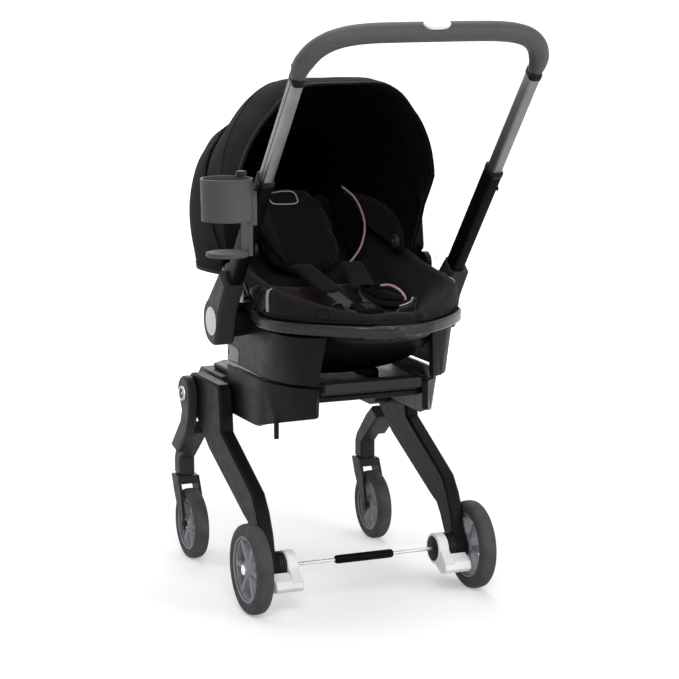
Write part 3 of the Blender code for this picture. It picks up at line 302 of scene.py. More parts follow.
# Camera of the photograph, from the floor point
CAMERA_PLACE = (-1.48425, -3.41293, 1.11250)
CAMERA_HEADING = -22.871
CAMERA_DOWN = 10.117
CAMERA_LENS = 120.55
SENSOR_WIDTH = 36.0


def place(x, y, z):
    """A point given from the floor under the rear axle, in the frame's coordinates."""
    return Vector((MIDDLE_X + x, AXLE_Y + y, z))


def box_middle(low, high):
    return (Vector(low) + Vector(high)) / 2


def mirror_place(side, point):
    return place(side * point[0], point[1], point[2])


def along_handle(distance, offset=0.0):
    """(y, z) on the handle's tube line, offset towards the front side of the tube."""
    y = HANDLE_FOOT[0] + HANDLE_LEAN[0] * distance + HANDLE_LEAN[1] * offset
    z = HANDLE_FOOT[1] + HANDLE_LEAN[1] * distance - HANDLE_LEAN[0] * offset
    return (y, z)


def smooth_line(points, count):
    """Evenly spaced points on a smooth curve through the given ones."""
    given = [np.array(point, float) for point in points]
    ends = [2 * given[0] - given[1]] + given + [2 * given[-1] - given[-2]]
    fine = []
    for k in range(len(given) - 1):
        a, b, c, d = ends[k:k + 4]
        for step in range(12):
            t = step / 12
            fine.append(0.5 * (2 * b + (c - a) * t + (2 * a - 5 * b + 4 * c - d) * t ** 2
                               + (3 * b - a - 3 * c + d) * t ** 3))
    fine.append(given[-1])
    fine = np.array(fine)
    steps = np.linalg.norm(np.diff(fine, axis=0), axis=1)
    travelled = np.concatenate([[0.0], np.cumsum(steps)])
    wanted = np.linspace(0.0, travelled[-1], count)
    return np.stack([np.interp(wanted, travelled, fine[:, k]) for k in range(fine.shape[1])], axis=1)


def closed_line(outline, count):
    """Smooth closed outline of count points through the given ones."""
    return [tuple(point) for point in smooth_line(list(outline) + [outline[0]], count + 1)[:-1]]


def around(steps):
    return [2.0 * math.pi * step / steps for step in range(steps)]


def oval(angle, half_across, half_up, power=1.0):
    """Point of an outline at an angle: power 1 gives an ellipse, a lower one a box with round corners."""
    cosine, sine = math.cos(angle), math.sin(angle)
    return (half_across * math.copysign(abs(cosine) ** power, cosine),
            half_up * math.copysign(abs(sine) ** power, sine))


def facing(side, profile):
    """A turned profile, mirrored so that it looks to one side."""
    return [(side * along, radius) for along, radius in profile]


def eased(share):
    """0 to 1 with soft ends; a share outside that range is held at its end."""
    share = max(0.0, min(1.0, share))
    return share * share * (3.0 - 2.0 * share)


def scaled(outline, share):
    """The points of an outline, drawn in to a share of their distance from its middle."""
    middle = np.mean(np.array(outline), axis=0)
    return [tuple(middle + (np.array(point) - middle) * share) for point in outline]


def table_value(table, y, column=1):
    """Straight-line value of a column of a table at y."""
    return float(np.interp(y, [row[0] for row in table], [row[column] for row in table]))


# Materials

class Recipe:
    """One procedural material round a Principled shader."""

    def __init__(self, name, colour, roughness, metallic=0.0):
        self.material = bpy.data.materials.new(name)
        self.material.use_nodes = True
        self.tree = self.material.node_tree
        self.shader = self.tree.nodes["Principled BSDF"]
        self.value("Base Color", (*colour, 1.0))
        self.value("Roughness", roughness)
        self.value("Metallic", metallic)
        self.material.diffuse_color = (*colour, 1.0)

    def value(self, socket, amount):
        self.shader.inputs[socket].default_value = amount

    def node(self, kind, **settings):
        made = self.tree.nodes.new(kind)
        for key, amount in settings.items():
            setattr(made, key, amount)
        return made

    def link(self, source, target):
        self.tree.links.new(source, target)

    def feed(self, socket, source):
        self.link(source, self.shader.inputs[socket])

    def position(self, stretch=(1.0, 1.0, 1.0), turn=(0.0, 0.0, 0.0)):
        """Object coordinates, turned and stretched."""
        coordinates = self.node("ShaderNodeTexCoord")
        mapping = self.node("ShaderNodeMapping")
        mapping.inputs["Scale"].default_value = stretch
        mapping.inputs["Rotation"].default_value = turn
        self.link(coordinates.outputs["Object"], mapping.inputs["Vector"])
        return mapping.outputs["Vector"]

    def noise(self, scale, detail=3.0, stretch=(1.0, 1.0, 1.0), turn=(0.0, 0.0, 0.0)):
        texture = self.node("ShaderNodeTexNoise")
        texture.inputs["Scale"].default_value = scale
        texture.inputs["Detail"].default_value = detail
        self.link(self.position(stretch, turn), texture.inputs["Vector"])
        return texture.outputs["Fac"]

    def cells(self, scale):
        texture = self.node("ShaderNodeTexVoronoi", feature="DISTANCE_TO_EDGE")
        texture.inputs["Scale"].default_value = scale
        self.link(self.position(), texture.inputs["Vector"])
        return texture.outputs["Distance"]

    def math(self, operation, first, second):
        made = self.node("ShaderNodeMath", operation=operation)
        for socket, amount in zip(made.inputs, (first, second)):
            if isinstance(amount, (int, float)):
                socket.default_value = amount
            else:
                self.link(amount, socket)
        return made.outputs[0]

    def spread(self, source, low, high, from_low=0.3, from_high=0.7):
        """Map a pattern's middle range onto low to high."""
        made = self.node("ShaderNodeMapRange")
        made.inputs["From Min"].default_value = from_low
        made.inputs["From Max"].default_value = from_high
        made.inputs["To Min"].default_value = low
        made.inputs["To Max"].default_value = high
        self.link(source, made.inputs["Value"])
        return made.outputs["Result"]

    def mix(self, share, first, second):
        made = self.node("ShaderNodeMix", data_type="RGBA")
        self.link(share, made.inputs["Factor"])
        for socket, amount in ((made.inputs[6], first), (made.inputs[7], second)):
            if isinstance(amount, tuple):
                socket.default_value = (*amount, 1.0)
            else:
                self.link(amount, socket)
        return made.outputs[2]

    def mottled(self, pattern, colour, dark, light):
        """The colour, shaded from dark to light by a pattern."""
        return self.mix(self.spread(pattern, 0.0, 1.0), shade(colour, dark), shade(colour, light))

    def uneven_gloss(self, pattern, roughness, less, more):
        self.feed("Roughness", self.spread(pattern, roughness - less, roughness + more))

    def threads(self, pitch):
        """Height of a plain weave with one thread each pitch, on surfaces facing any way."""
        coordinates = self.node("ShaderNodeTexCoord")
        parts = self.node("ShaderNodeSeparateXYZ")
        self.link(coordinates.outputs["Object"], parts.inputs[0])
        x, y, z = parts.outputs
        warp = self.math("ADD", x, self.math("MULTIPLY", y, 0.35))
        weft = self.math("ADD", self.math("MULTIPLY", z, 0.9), self.math("MULTIPLY", y, 0.6))
        turns = math.pi / pitch
        first = self.math("SINE", self.math("MULTIPLY", warp, turns), 0.0)
        second = self.math("SINE", self.math("MULTIPLY", weft, turns), 0.0)
        return self.math("MULTIPLY", first, second)

    def soft_edge(self, radius):
        """Normal rounded over sharp edges, and a mask that is 1 on those edges."""
        bevel = self.node("ShaderNodeBevel", samples=4)
        bevel.inputs["Radius"].default_value = radius
        geometry = self.node("ShaderNodeNewGeometry")
        dot = self.node("ShaderNodeVectorMath", operation="DOT_PRODUCT")
        self.link(bevel.outputs["Normal"], dot.inputs[0])
        self.link(geometry.outputs["Normal"], dot.inputs[1])
        return bevel.outputs["Normal"], self.spread(dot.outputs["Value"], 1.0, 0.0, 0.80, 0.985)

    def bump(self, height, strength, distance, normal=None):
        made = self.node("ShaderNodeBump")
        made.inputs["Strength"].default_value = strength
        made.inputs["Distance"].default_value = distance
        self.link(height, made.inputs["Height"])
        if normal is not None:
            self.link(normal, made.inputs["Normal"])
        self.feed("Normal", made.outputs["Normal"])


def shade(colour, amount):
    return tuple(min(1.0, part * amount) for part in colour)


def moulded(name, colour, roughness, grain=0.10, edge_light=1.9, edge_radius=0.0014, gloss=0.10):
    """Moulded plastic: fine spark-eroded grain, uneven gloss, edges rubbed a little lighter."""
    recipe = Recipe(name, colour, roughness)
    recipe.value("Specular IOR Level", gloss)
    cloud = recipe.noise(14.0, 5.0)
    handling = recipe.noise(55.0, 4.0)
    normal, edge = recipe.soft_edge(edge_radius)
    rubbed = recipe.math("MULTIPLY", edge, recipe.spread(handling, 0.1, 0.9))
    body = recipe.mottled(cloud, colour, 0.88, 1.12)
    recipe.feed("Base Color", recipe.mix(rubbed, body, shade(colour, edge_light)))
    recipe.uneven_gloss(handling, roughness, 0.05, 0.08)
    recipe.bump(recipe.noise(1900.0, 2.0), grain, 0.00025, normal)
    return recipe.material


def brushed(name, colour, roughness, turn):
    """Metal drawn along one direction, with faint lines and handling marks."""
    recipe = Recipe(name, colour, roughness, 1.0)
    lines = recipe.noise(900.0, 3.0, (1.0, 1.0, 0.012), turn)
    cloud = recipe.noise(24.0, 4.0)
    normal, edge = recipe.soft_edge(0.0012)
    body = recipe.mottled(cloud, colour, 0.90, 1.10)
    recipe.feed("Base Color", recipe.mix(edge, body, shade(colour, 1.35)))
    recipe.uneven_gloss(lines, roughness, 0.06, 0.10)
    recipe.bump(lines, 0.06, 0.0002, normal)
    return recipe.material


def rubber(name, colour, roughness):
    """Matt rubber with a dusty bloom and tiny moulding pits."""
    recipe = Recipe(name, colour, roughness)
    recipe.value("Specular IOR Level", 0.05)
    dust = recipe.noise(38.0, 6.0)
    pits = recipe.noise(1200.0, 3.0)
    recipe.feed("Base Color", recipe.mottled(dust, colour, 0.82, 1.35))
    recipe.uneven_gloss(dust, roughness, 0.08, 0.08)
    recipe.bump(pits, 0.16, 0.0003)
    return recipe.material


def leather(name, colour, roughness):
    """Coated leather: pebbled cells, darker in the creases."""
    recipe = Recipe(name, colour, roughness)
    pebble = recipe.cells(420.0)
    tone = recipe.noise(30.0, 5.0)
    body = recipe.mottled(tone, colour, 0.80, 1.25)
    crease = recipe.spread(pebble, 1.0, 0.0, 0.0, 0.16)
    recipe.feed("Base Color", recipe.mix(crease, body, shade(colour, 0.55)))
    recipe.uneven_gloss(tone, roughness, 0.07, 0.07)
    recipe.bump(recipe.spread(pebble, 0.0, 1.0, 0.0, 0.22), 0.45, 0.00035)
    return recipe.material


def cloth(name, dark, light, pitch, roughness=0.86, sheen=0.25, fleck=0.5):
    """Woven or knitted cloth: thread relief, a mottled yarn colour and a soft sheen."""
    recipe = Recipe(name, dark, roughness)
    recipe.value("Specular IOR Level", 0.05)
    recipe.value("Sheen Weight", sheen)
    recipe.value("Sheen Roughness", 0.45)
    weave = recipe.threads(pitch)
    yarn = recipe.noise(0.55 / pitch, 2.0)
    tone = recipe.noise(11.0, 4.0)
    share = recipe.math("ADD", recipe.math("MULTIPLY", recipe.spread(yarn, 0.0, 1.0), fleck),
                        recipe.math("MULTIPLY", recipe.spread(tone, 0.0, 1.0), 1.0 - fleck))
    ground = recipe.mix(share, dark, light)
    valleys = recipe.spread(weave, 1.0, 0.0, -1.0, 0.6)
    recipe.feed("Base Color", recipe.mix(valleys, ground, shade(dark, 0.6)))
    recipe.uneven_gloss(tone, roughness, 0.05, 0.06)
    recipe.bump(recipe.math("ADD", weave, recipe.math("MULTIPLY", yarn, 0.8)), 0.35, pitch * 0.30)
    return recipe.material


def webbing(name, colour, pitch):
    """Webbing: a tight weave in relief and an uneven tone."""
    recipe = Recipe(name, colour, 0.62)
    recipe.value("Sheen Weight", 0.15)
    weave = recipe.threads(pitch)
    tone = recipe.noise(60.0, 4.0)
    recipe.feed("Base Color", recipe.mottled(tone, colour, 0.75, 1.35))
    recipe.bump(weave, 0.5, pitch * 0.3)
    return recipe.material


ALONG_HANDLE = (math.radians(39.3), 0.0, 0.0)
ALONG_AXLE = (0.0, math.radians(90.0), 0.0)

BLACK = moulded("moulded black", (0.0062, 0.0062, 0.0068), 0.36)
RIM_GLOSS = moulded("moulded shell", (0.0120, 0.0120, 0.0128), 0.24, 0.04, 1.9, 0.0014, 0.30)
# Deep black: the own colour of the brake discs and leg caps, and painted shade low on the shell's foot end
DEEP_BLACK_AND_SHADE = moulded("deep black", (0.0035, 0.0035, 0.0040), 0.45)
GREY = moulded("moulded grey", (0.0320, 0.0320, 0.0335), 0.40)
CUP_GREY = moulded("cup holder grey", (0.0860, 0.0860, 0.0890), 0.44)
LEG = moulded("leg coating", (0.0085, 0.0085, 0.0090), 0.37, 0.05, 1.9, 0.0014, 0.06)
RIM = moulded("rim plastic", (0.3100, 0.3100, 0.3450), 0.44)
WHITE = moulded("white plastic", (0.93, 0.93, 0.92), 0.34, 0.04, 1.0)
PALE_RING = moulded("pale ring", (0.87, 0.87, 0.87), 0.34, 0.04, 1.0)
# Light grey: painted reflection of the white studio on glossy black, for the strips on the shell and belt
# guide
PAINTED_REFLECTION = moulded("painted reflection", (0.30, 0.30, 0.31), 0.36, 0.05, 1.2)
TYRE = rubber("tyre rubber", (0.0730, 0.0722, 0.0715), 0.58)
SLEEVE = rubber("sleeve rubber", (0.0022, 0.0022, 0.0024), 0.46)
TUBE = brushed("anodised tube", (0.22, 0.22, 0.225), 0.40, ALONG_HANDLE)
GROOVE = brushed("tube groove", (0.055, 0.055, 0.057), 0.50, ALONG_HANDLE)
STEEL = brushed("bright steel", (0.62, 0.62, 0.63), 0.26, ALONG_AXLE)
SCREW = brushed("screw metal", (0.86, 0.86, 0.86), 0.34, ALONG_AXLE)
CABLE = brushed("cable steel", (0.58, 0.58, 0.59), 0.30, ALONG_AXLE)
LEATHER = leather("grip leather", (0.054, 0.049, 0.046), 0.50)
COVER = cloth("cover knit", (0.0086, 0.0086, 0.0100), (0.0140, 0.0140, 0.0160), 0.0011, 0.88, 0.06)
WALL_CLOTH = cloth("wall knit", (0.0135, 0.0135, 0.0150), (0.0215, 0.0215, 0.0235), 0.0011, 0.88, 0.06)
INSERT = cloth("insert heather", (0.030, 0.0165, 0.0165), (0.075, 0.048, 0.048), 0.0013, 0.88, 0.20, 0.75)
CANOPY_OUT = cloth("canopy weave", (0.0058, 0.0058, 0.0060), (0.0096, 0.0096, 0.0098), 0.0012, 0.84, 0.02)
CANOPY_IN = cloth("canopy lining", (0.0010, 0.0009, 0.0026), (0.0019, 0.0017, 0.0042), 0.0010, 0.86, 0.02)
# Near-black cloth for the right head flap only: painted shade where the head support's hollow lies in deep
# shade
SHADE_FLAP_CLOTH = cloth("painted shade cloth", (0.0007, 0.0007, 0.0009), (0.0015, 0.0015, 0.0018), 0.0016, 0.90, 0.0)
BINDING = cloth("binding tape", (0.0040, 0.0040, 0.0044), (0.0080, 0.0080, 0.0085), 0.0009, 0.66, 0.05)
WEBBING = webbing("black webbing", (0.0075, 0.0075, 0.0082), 0.0016)
PINK = cloth("pink piping", (0.52, 0.29, 0.29), (0.66, 0.40, 0.40), 0.0009, 0.72, 0.20)
WHITE_PIPING = cloth("white piping", (0.52, 0.52, 0.52), (0.66, 0.66, 0.66), 0.0009, 0.72, 0.20)
THREAD = cloth("black thread", (0.0030, 0.0030, 0.0034), (0.0060, 0.0060, 0.0065), 0.0006, 0.70, 0.03)


# Mesh helpers

def make_object(name, shape, materials, body=None):
    """Turn a bmesh into a smooth shaded piece that rides on a body."""
    bmesh.ops.recalc_face_normals(shape, faces=shape.faces)
    mesh = bpy.data.meshes.new(name)
    shape.to_mesh(mesh)
    shape.free()
    for material in materials:
        mesh.materials.append(material)
    mesh.shade_smooth()
    made = bpy.data.objects.new(name, mesh)
    bpy.context.scene.collection.objects.link(made)
    if body is not None:
        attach(made, body)
    return made


def skin(shape, rows, ring=True, along=False):
    """Faces between rows of vertices; ring closes each row, along joins the last row to the first."""
    pairs = list(zip(rows, rows[1:]))
    if along:
        pairs.append((rows[-1], rows[0]))
    for row, following in pairs:
        last = len(row) if ring else len(row) - 1
        for k in range(last):
            ahead = (k + 1) % len(row)
            shape.faces.new((row[k], row[ahead], following[ahead], following[k]))


def fan(shape, row, centre):
    """Close a ring of vertices with triangles to a middle point."""
    hub = shape.verts.new(centre)
    for k in range(len(row)):
        shape.faces.new((row[k], row[(k + 1) % len(row)], hub))


def lofted(name, rows, materials, body=None, along=False):
    """Piece over rings of points; along joins the last ring to the first, else both ends are closed."""
    shape = bmesh.new()
    rows = [[shape.verts.new(point) for point in row] for row in rows]
    skin(shape, rows, True, along)
    if not along:
        shape.faces.new(rows[0])
        shape.faces.new(rows[-1])
    return make_object(name, shape, materials, body)


def frames_along(points, upward, closed=False):
    """Forward, sideways and up directions at each point of a path."""
    count = len(points)
    made = []
    for k in range(count):
        before = points[(k - 1) % count] if closed else points[max(k - 1, 0)]
        after = points[(k + 1) % count] if closed else points[min(k + 1, count - 1)]
        forward = (Vector(after) - Vector(before)).normalized()
        guide = upward[k] if isinstance(upward, list) else upward
        side = forward.cross(guide).normalized()
        made.append((forward, side, side.cross(forward).normalized()))
    return made


def sweep(shape, points, upward, size, sides=10, power=1.0, closed=False):
    """Band or cord along points: an oval section of size (width, height), with round ends."""
    width, height = size
    section = [oval(angle, width / 2, height / 2, power) for angle in around(sides)]
    frames = frames_along(points, upward, closed)
    rows = []
    for point, (_, side, up) in zip(points, frames):
        rows.append([shape.verts.new(Vector(point) + side * across + up * rise) for across, rise in section])
    skin(shape, rows, True, closed)
    if not closed:
        for end, sign in ((0, -1.0), (-1, 1.0)):
            fan(shape, rows[end], Vector(points[end]) + frames[end][0] * (sign * min(width, height) * 0.4))


def cord_piece(name, points, upward, size, material, body, sides=10, power=1.0, closed=False):
    shape = bmesh.new()
    sweep(shape, points, upward, size, sides, power, closed)
    return make_object(name, shape, [material], body)


def turned_piece(name, profile, centre, material, body, steps=40, upright=False):
    """Body of revolution about an X axis, or a Z axis when upright; profile is (distance, radius)."""
    rows = []
    for along, radius in profile:
        circle = [oval(angle, radius, radius) for angle in around(steps)]
        rows.append([centre + Vector((a, b, along) if upright else (along, a, b)) for a, b in circle])
    made = lofted(name, rows, [material], body)
    made.data.set_sharp_from_angle(angle=math.radians(40.0))
    return made


def ring_piece(name, loop, centre, material, body, steps):
    """Ring about an X axis: the loop is its closed section as (distance along the axis, radius)."""
    rows = []
    for along, radius in loop:
        rows.append([centre + Vector((along, *oval(angle, radius, radius))) for angle in around(steps)])
    return lofted(name, rows, [material], body, along=True)


def crowned_pad(name, outline, to_world, half_thickness, material):
    """Closed crowned pad with a flat lid over its crown: u, v in the plane and w out of it."""
    turns = [0.5 * math.pi * k / PAD_RINGS for k in range(1, PAD_RINGS)]
    levels = [(PAD_LID, 1.0)] + [(math.sin(turn), math.cos(turn)) for turn in turns]
    rings = [(reach, rise * half_thickness) for reach, rise in levels] + [(1.0, 0.0)]
    rings += [(reach, -rise * half_thickness) for reach, rise in reversed(levels)]
    rows = []
    for reach, height in rings:
        rows.append([to_world(u, v, height) for u, v in scaled(outline, reach)])
    return lofted(name, rows, [material])


# Stage, light and camera

def make_stage():
    shape = bmesh.new()
    corners = ((-1.0, -1.0), (1.0, -1.0), (1.0, 1.0), (-1.0, 1.0))
    shape.faces.new([shape.verts.new((x * FLOOR_HALF, y * FLOOR_HALF, 0.0)) for x, y in corners])
    recipe = Recipe("studio floor", (0.86, 0.86, 0.86), 0.9)
    recipe.value("Specular IOR Level", 0.1)
    rays = recipe.node("ShaderNodeLightPath")
    seen = recipe.math("MAXIMUM", rays.outputs["Is Camera Ray"], rays.outputs["Is Glossy Ray"])
    geometry = recipe.node("ShaderNodeNewGeometry")
    away = recipe.node("ShaderNodeVectorMath", operation="LENGTH")
    recipe.link(geometry.outputs["Position"], away.inputs[0])
    glow = recipe.spread(away.outputs["Value"], *FLOOR_GLOW, *FLOOR_REACH)
    recipe.value("Emission Color", (1.0, 1.0, 1.0, 1.0))
    recipe.feed("Emission Strength", recipe.math("MULTIPLY", seen, glow))
    floor = make_object("floor", shape, [recipe.material])


def make_world():
    world = bpy.data.worlds.new("studio")
    bpy.context.scene.world = world
    world.use_nodes = True
    tree = world.node_tree
    background = tree.nodes["Background"]
    background.inputs["Color"].default_value = (1.0, 1.0, 1.0, 1.0)
    rays = tree.nodes.new("ShaderNodeLightPath")
    seen = rays.outputs["Is Camera Ray"]
    for ray in ("Is Glossy Ray", "Is Transmission Ray"):
        either = tree.nodes.new("ShaderNodeMath")
        either.operation = "MAXIMUM"
        tree.links.new(seen, either.inputs[0])
        tree.links.new(rays.outputs[ray], either.inputs[1])
        seen = either.outputs[0]
    strength = tree.nodes.new("ShaderNodeMapRange")
    strength.inputs["To Min"].default_value = WORLD_STRENGTH
    strength.inputs["To Max"].default_value = 1.0
    tree.links.new(seen, strength.inputs["Value"])
    tree.links.new(strength.outputs["Result"], background.inputs["Strength"])


def make_lights():
    aim = place(*LAMP_AIM)
    for name, spot, size, power in LAMPS:
        lamp = bpy.data.lights.new(name, "AREA")
        lamp.shape = "DISK"
        lamp.size = size
        lamp.energy = power
        made = bpy.data.objects.new(name, lamp)
        made.location = place(*spot)
        made.rotation_euler = (aim - made.location).to_track_quat("-Z", "Y").to_euler()
        bpy.context.scene.collection.objects.link(made)


def make_camera():
    camera = bpy.data.cameras.new("camera")
    camera.sensor_width = SENSOR_WIDTH
    camera.sensor_fit = "HORIZONTAL"
    camera.lens = CAMERA_LENS
    camera.clip_end = 200.0
    made = bpy.data.objects.new("camera", camera)
    made.location = place(*CAMERA_PLACE)
    made.rotation_euler = (math.radians(90.0 - CAMERA_DOWN), 0.0, math.radians(CAMERA_HEADING))
    bpy.context.scene.collection.objects.link(made)
    bpy.context.scene.camera = made
    bpy.context.scene.view_settings.view_transform = "Standard"


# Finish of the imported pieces

NODE_FINISH = {
    "grip_button": WHITE,
    "buckle_button": GREY,
    "brake_link_sleeve": SLEEVE,
    "cup_holder": CUP_GREY,
    "base_crossbar": GREY,
}
PREFIX_FINISH = (
    ("handle_hub", GREY), ("hub_button", WHITE), ("outer_tube", SLEEVE), ("inner_tube", TUBE),
    ("rear_leg", LEG), ("front_leg", GREY), ("leg_housing", GREY), ("caster_fork", GREY),
    ("leg_pivot", STEEL), ("brake_pedal", WHITE), ("rear_axle", STEEL),
)
SUFFIX_FINISH = (("_tyre", TYRE), ("_rim", RIM))


def node_finish(name):
    if name in NODE_FINISH:
        return NODE_FINISH[name]
    for prefix, finish in PREFIX_FINISH:
        if name.startswith(prefix):
            return finish
    for suffix, finish in SUFFIX_FINISH:
        if name.endswith(suffix):
            return finish
    return BLACK


def smoothing_group():
    """Geometry group that joins split faces and shades edges below an angle smooth."""
    group = bpy.data.node_groups.new("smooth faces", "GeometryNodeTree")
    group.interface.new_socket("Geometry", in_out="INPUT", socket_type="NodeSocketGeometry")
    group.interface.new_socket("Geometry", in_out="OUTPUT", socket_type="NodeSocketGeometry")
    entry = group.nodes.new("NodeGroupInput")
    result = group.nodes.new("NodeGroupOutput")
    plain = group.nodes.new("GeometryNodeRemoveAttribute")
    plain.inputs["Name"].default_value = "custom_normal"
    joined = group.nodes.new("GeometryNodeMergeByDistance")
    joined.inputs["Distance"].default_value = JOIN_DISTANCE
    faces = group.nodes.new("GeometryNodeSetShadeSmooth")
    angle = group.nodes.new("GeometryNodeInputMeshEdgeAngle")
    below = group.nodes.new("FunctionNodeCompare")
    below.operation = "LESS_THAN"
    below.inputs[1].default_value = math.radians(SMOOTH_ANGLE)
    edges = group.nodes.new("GeometryNodeSetShadeSmooth")
    edges.domain = "EDGE"
    chain = (entry, plain, joined, faces, edges, result)
    for before, after in zip(chain, chain[1:]):
        group.links.new(before.outputs[0], after.inputs[0])
    group.links.new(angle.outputs["Unsigned Angle"], below.inputs[0])
    group.links.new(below.outputs[0], edges.inputs["Shade Smooth"])
    return group


def finish_nodes():
    group = smoothing_group()
    for name, item in NODES.items():
        item.modifiers.new("smooth faces", "NODES").node_group = group
        for slot in item.material_slots:
            slot.material = node_finish(name)


# Shell and grip

def shell_row(y, curve):
    """Closed section of the shell with its rounded lip."""
    half, rim, bottom, body, lip = (float(np.interp(y, curve[:, 0], curve[:, k])) for k in range(1, 6))
    under = rim - lip - BODY_BELOW_LIP
    inner_bottom = min(bottom + SHELL_WALL, under - 0.002)
    right = [(half - 0.013, rim), (half - 0.005, rim), (half - 0.0020, rim - 0.0008),
             (half - 0.0006, rim - 0.0026), (half, rim - 0.006), (half, rim - lip + 0.006),
             (half - 0.0006, rim - lip + 0.0026),
             (half - 0.0020, rim - lip + 0.0008), (half - 0.005, rim - lip), (body, under)]
    outside = right + bowl(body, under, bottom, 26) + [(-x, z) for x, z in reversed(right)]
    neck = body - SHELL_WALL
    inside = [(-neck, under)] + list(reversed(bowl(neck, under, inner_bottom, 26))) + [(neck, under)]
    return [place(x, y, z) for x, z in outside + inside]


def make_shell():
    """Moulded shell with a smooth rounded lip, and painted shade in deep black under its foot end."""
    curve = smooth_line(SHELL_STATIONS, 240)
    ends = (SHELL_STATIONS[0][0], SHELL_STATIONS[-1][0])
    rows = [shell_row(float(y), curve) for y in np.linspace(*ends, 110)]
    shell = lofted("shell_smooth", rows, [RIM_GLOSS, DEEP_BLACK_AND_SHADE], "carrier")
    # Painted shade: faces low at the foot end take the deep black
    for face in shell.data.polygons:
        if face.center.y < AXLE_Y + SHADE_UNTIL and face.center.z < SHADE_BELOW:
            face.material_index = 1
    shell.data.set_sharp_from_angle(angle=math.radians(50.0))
    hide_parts("seat_shell")
    make_lip(curve)


def make_lip(curve):
    """Smooth bead that runs round the foot end of the shell's lip."""
    side_line = []
    for y in np.linspace(LIP_START, SHELL_STATIONS[0][0] + 0.014, 16):
        half, rim = (float(np.interp(y, curve[:, 0], curve[:, k])) for k in (1, 2))
        side_line.append((half - LIP_INSET, float(y), rim - LIP_DROP))
    half, rim = SHELL_STATIONS[0][1:3]
    for share, back in LIP_TIP:
        side_line.append((half * share, LIP_FOOT + back, rim - LIP_DROP))
    given = side_line + [(-x, y, z) for x, y, z in reversed(side_line)]
    points = smooth_line([tuple(place(*point)) for point in given], 150)
    cord_piece("shell_lip", points, UPWARD, LIP_SIZE, RIM_GLOSS, "carrier", 18, 0.55)


def grip_frames(count):
    """Points (x, rise) along the grip, the outward direction and the distance from the nearer end."""
    line = smooth_line([(-x, rise) for x, rise in reversed(GRIP_LINE)] + list(GRIP_LINE[1:]), count)
    step = float(np.linalg.norm(line[1] - line[0]))
    made = []
    for k, point in enumerate(line):
        forward = line[min(k + 1, count - 1)] - line[max(k - 1, 0)]
        forward = forward / np.linalg.norm(forward)
        made.append((point, (-forward[1], forward[0]), step * min(k, count - 1 - k)))
    return made


def grip_place(x, rise, sideways):
    y, z = along_handle(INNER_TUBE_TOP + rise, sideways)
    return place(x, y, z)


def pocket_cutter():
    half_length, half_width, low, high = BUTTON_POCKET
    rows = []
    for rise in (low, high):
        rows.append([grip_place(oval(angle, half_length, 0.0, 0.8)[0], rise, half_width * math.sin(angle))
                     for angle in around(48)])
    return lofted("pocket cutter", rows, [LEATHER])


def make_grip():
    """Leather grip with a smooth bend, its button pocket and the seam along its underside."""
    rows = []
    frames = grip_frames(150)
    for (x, rise), (out_x, out_rise), from_end in frames:
        share = table_value(GRIP_SLIM, from_end)
        row = []
        for angle in around(28):
            in_plane, sideways = oval(angle, GRIP_HALF[0] * share, GRIP_HALF[1] * share)
            row.append(grip_place(x + out_x * in_plane, rise + out_rise * in_plane, sideways))
        rows.append(row)
    grip = lofted("grip_leather_cover", rows, [LEATHER], "handle_upper")
    cutter = pocket_cutter()
    cut = grip.modifiers.new("pocket", "BOOLEAN")
    cut.operation = "DIFFERENCE"
    cut.solver = "EXACT"
    cut.object = cutter
    apply_modifiers(grip)
    bpy.data.objects.remove(cutter)
    grip.data.set_sharp_from_angle(angle=math.radians(45.0))
    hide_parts("handle_grip")
    points = []
    outward = []
    for (x, rise), (out_x, out_rise), from_end in frames[3:-3]:
        depth = -GRIP_HALF[0] * table_value(GRIP_SLIM, from_end) - 0.0001
        points.append(grip_place(x + out_x * depth, rise + out_rise * depth, 0.0))
        outward.append((grip_place(x - out_x, rise - out_rise, 0.0) - grip_place(x, rise, 0.0)).normalized())
    stitch_line("grip_seam_stitches", points, outward, "handle_upper", 0.0050, 0.0010)
    return grip


# Canopy

def swell_at(degrees):
    curve = smooth_line(REAR_SWELL, 60)
    return float(np.interp(degrees, curve[:, 0], curve[:, 1]))


def canopy_half_turn(inset, count):
    """Points (x, reach) across the canopy from right to left, inset on every side."""
    shrink_x = 1.0 - inset / CANOPY_SECTION[-1][0]
    shrink_reach = 1.0 - inset / CANOPY_SECTION[0][1]
    half = [(x * shrink_x, reach * shrink_reach) for x, reach in CANOPY_SECTION]
    right = list(reversed(half))
    return smooth_line(right + [(-x, reach) for x, reach in half[1:]], count)


def canopy_point(x, reach, degrees, swell=1.0):
    angle = math.radians(degrees)
    far = reach * (1.0 + (swell - 1.0) * min(1.0, reach / 0.20))
    return place(x, CANOPY_PIVOT[0] + far * math.cos(angle), CANOPY_PIVOT[1] + far * math.sin(angle))


def cloth_ripple(x, reach, degrees, window):
    """How far the cloth stands off its even shape: slack in the middle, gathers near the hinges."""
    slack = -0.0022 * window * min(1.0, reach / 0.25)
    gather = noise.noise(Vector((degrees * 0.42, x * 3.0, 1.7))) * 0.0016 * max(0.0, 1.0 - reach / 0.22)
    drift = noise.noise(Vector((x * 16.0, degrees * 0.10, reach * 9.0))) * 0.0011
    return slack + (gather + drift) * window


def tucked(x, reach, degrees):
    """Sideways place of the cloth where the front panel narrows beside the seat."""
    share = eased((degrees - FRONT_PANEL[0]) / (FRONT_PANEL[1] - FRONT_PANEL[0]))
    return x * (1.0 - share * (1.0 - table_value(FRONT_TUCK, reach)))


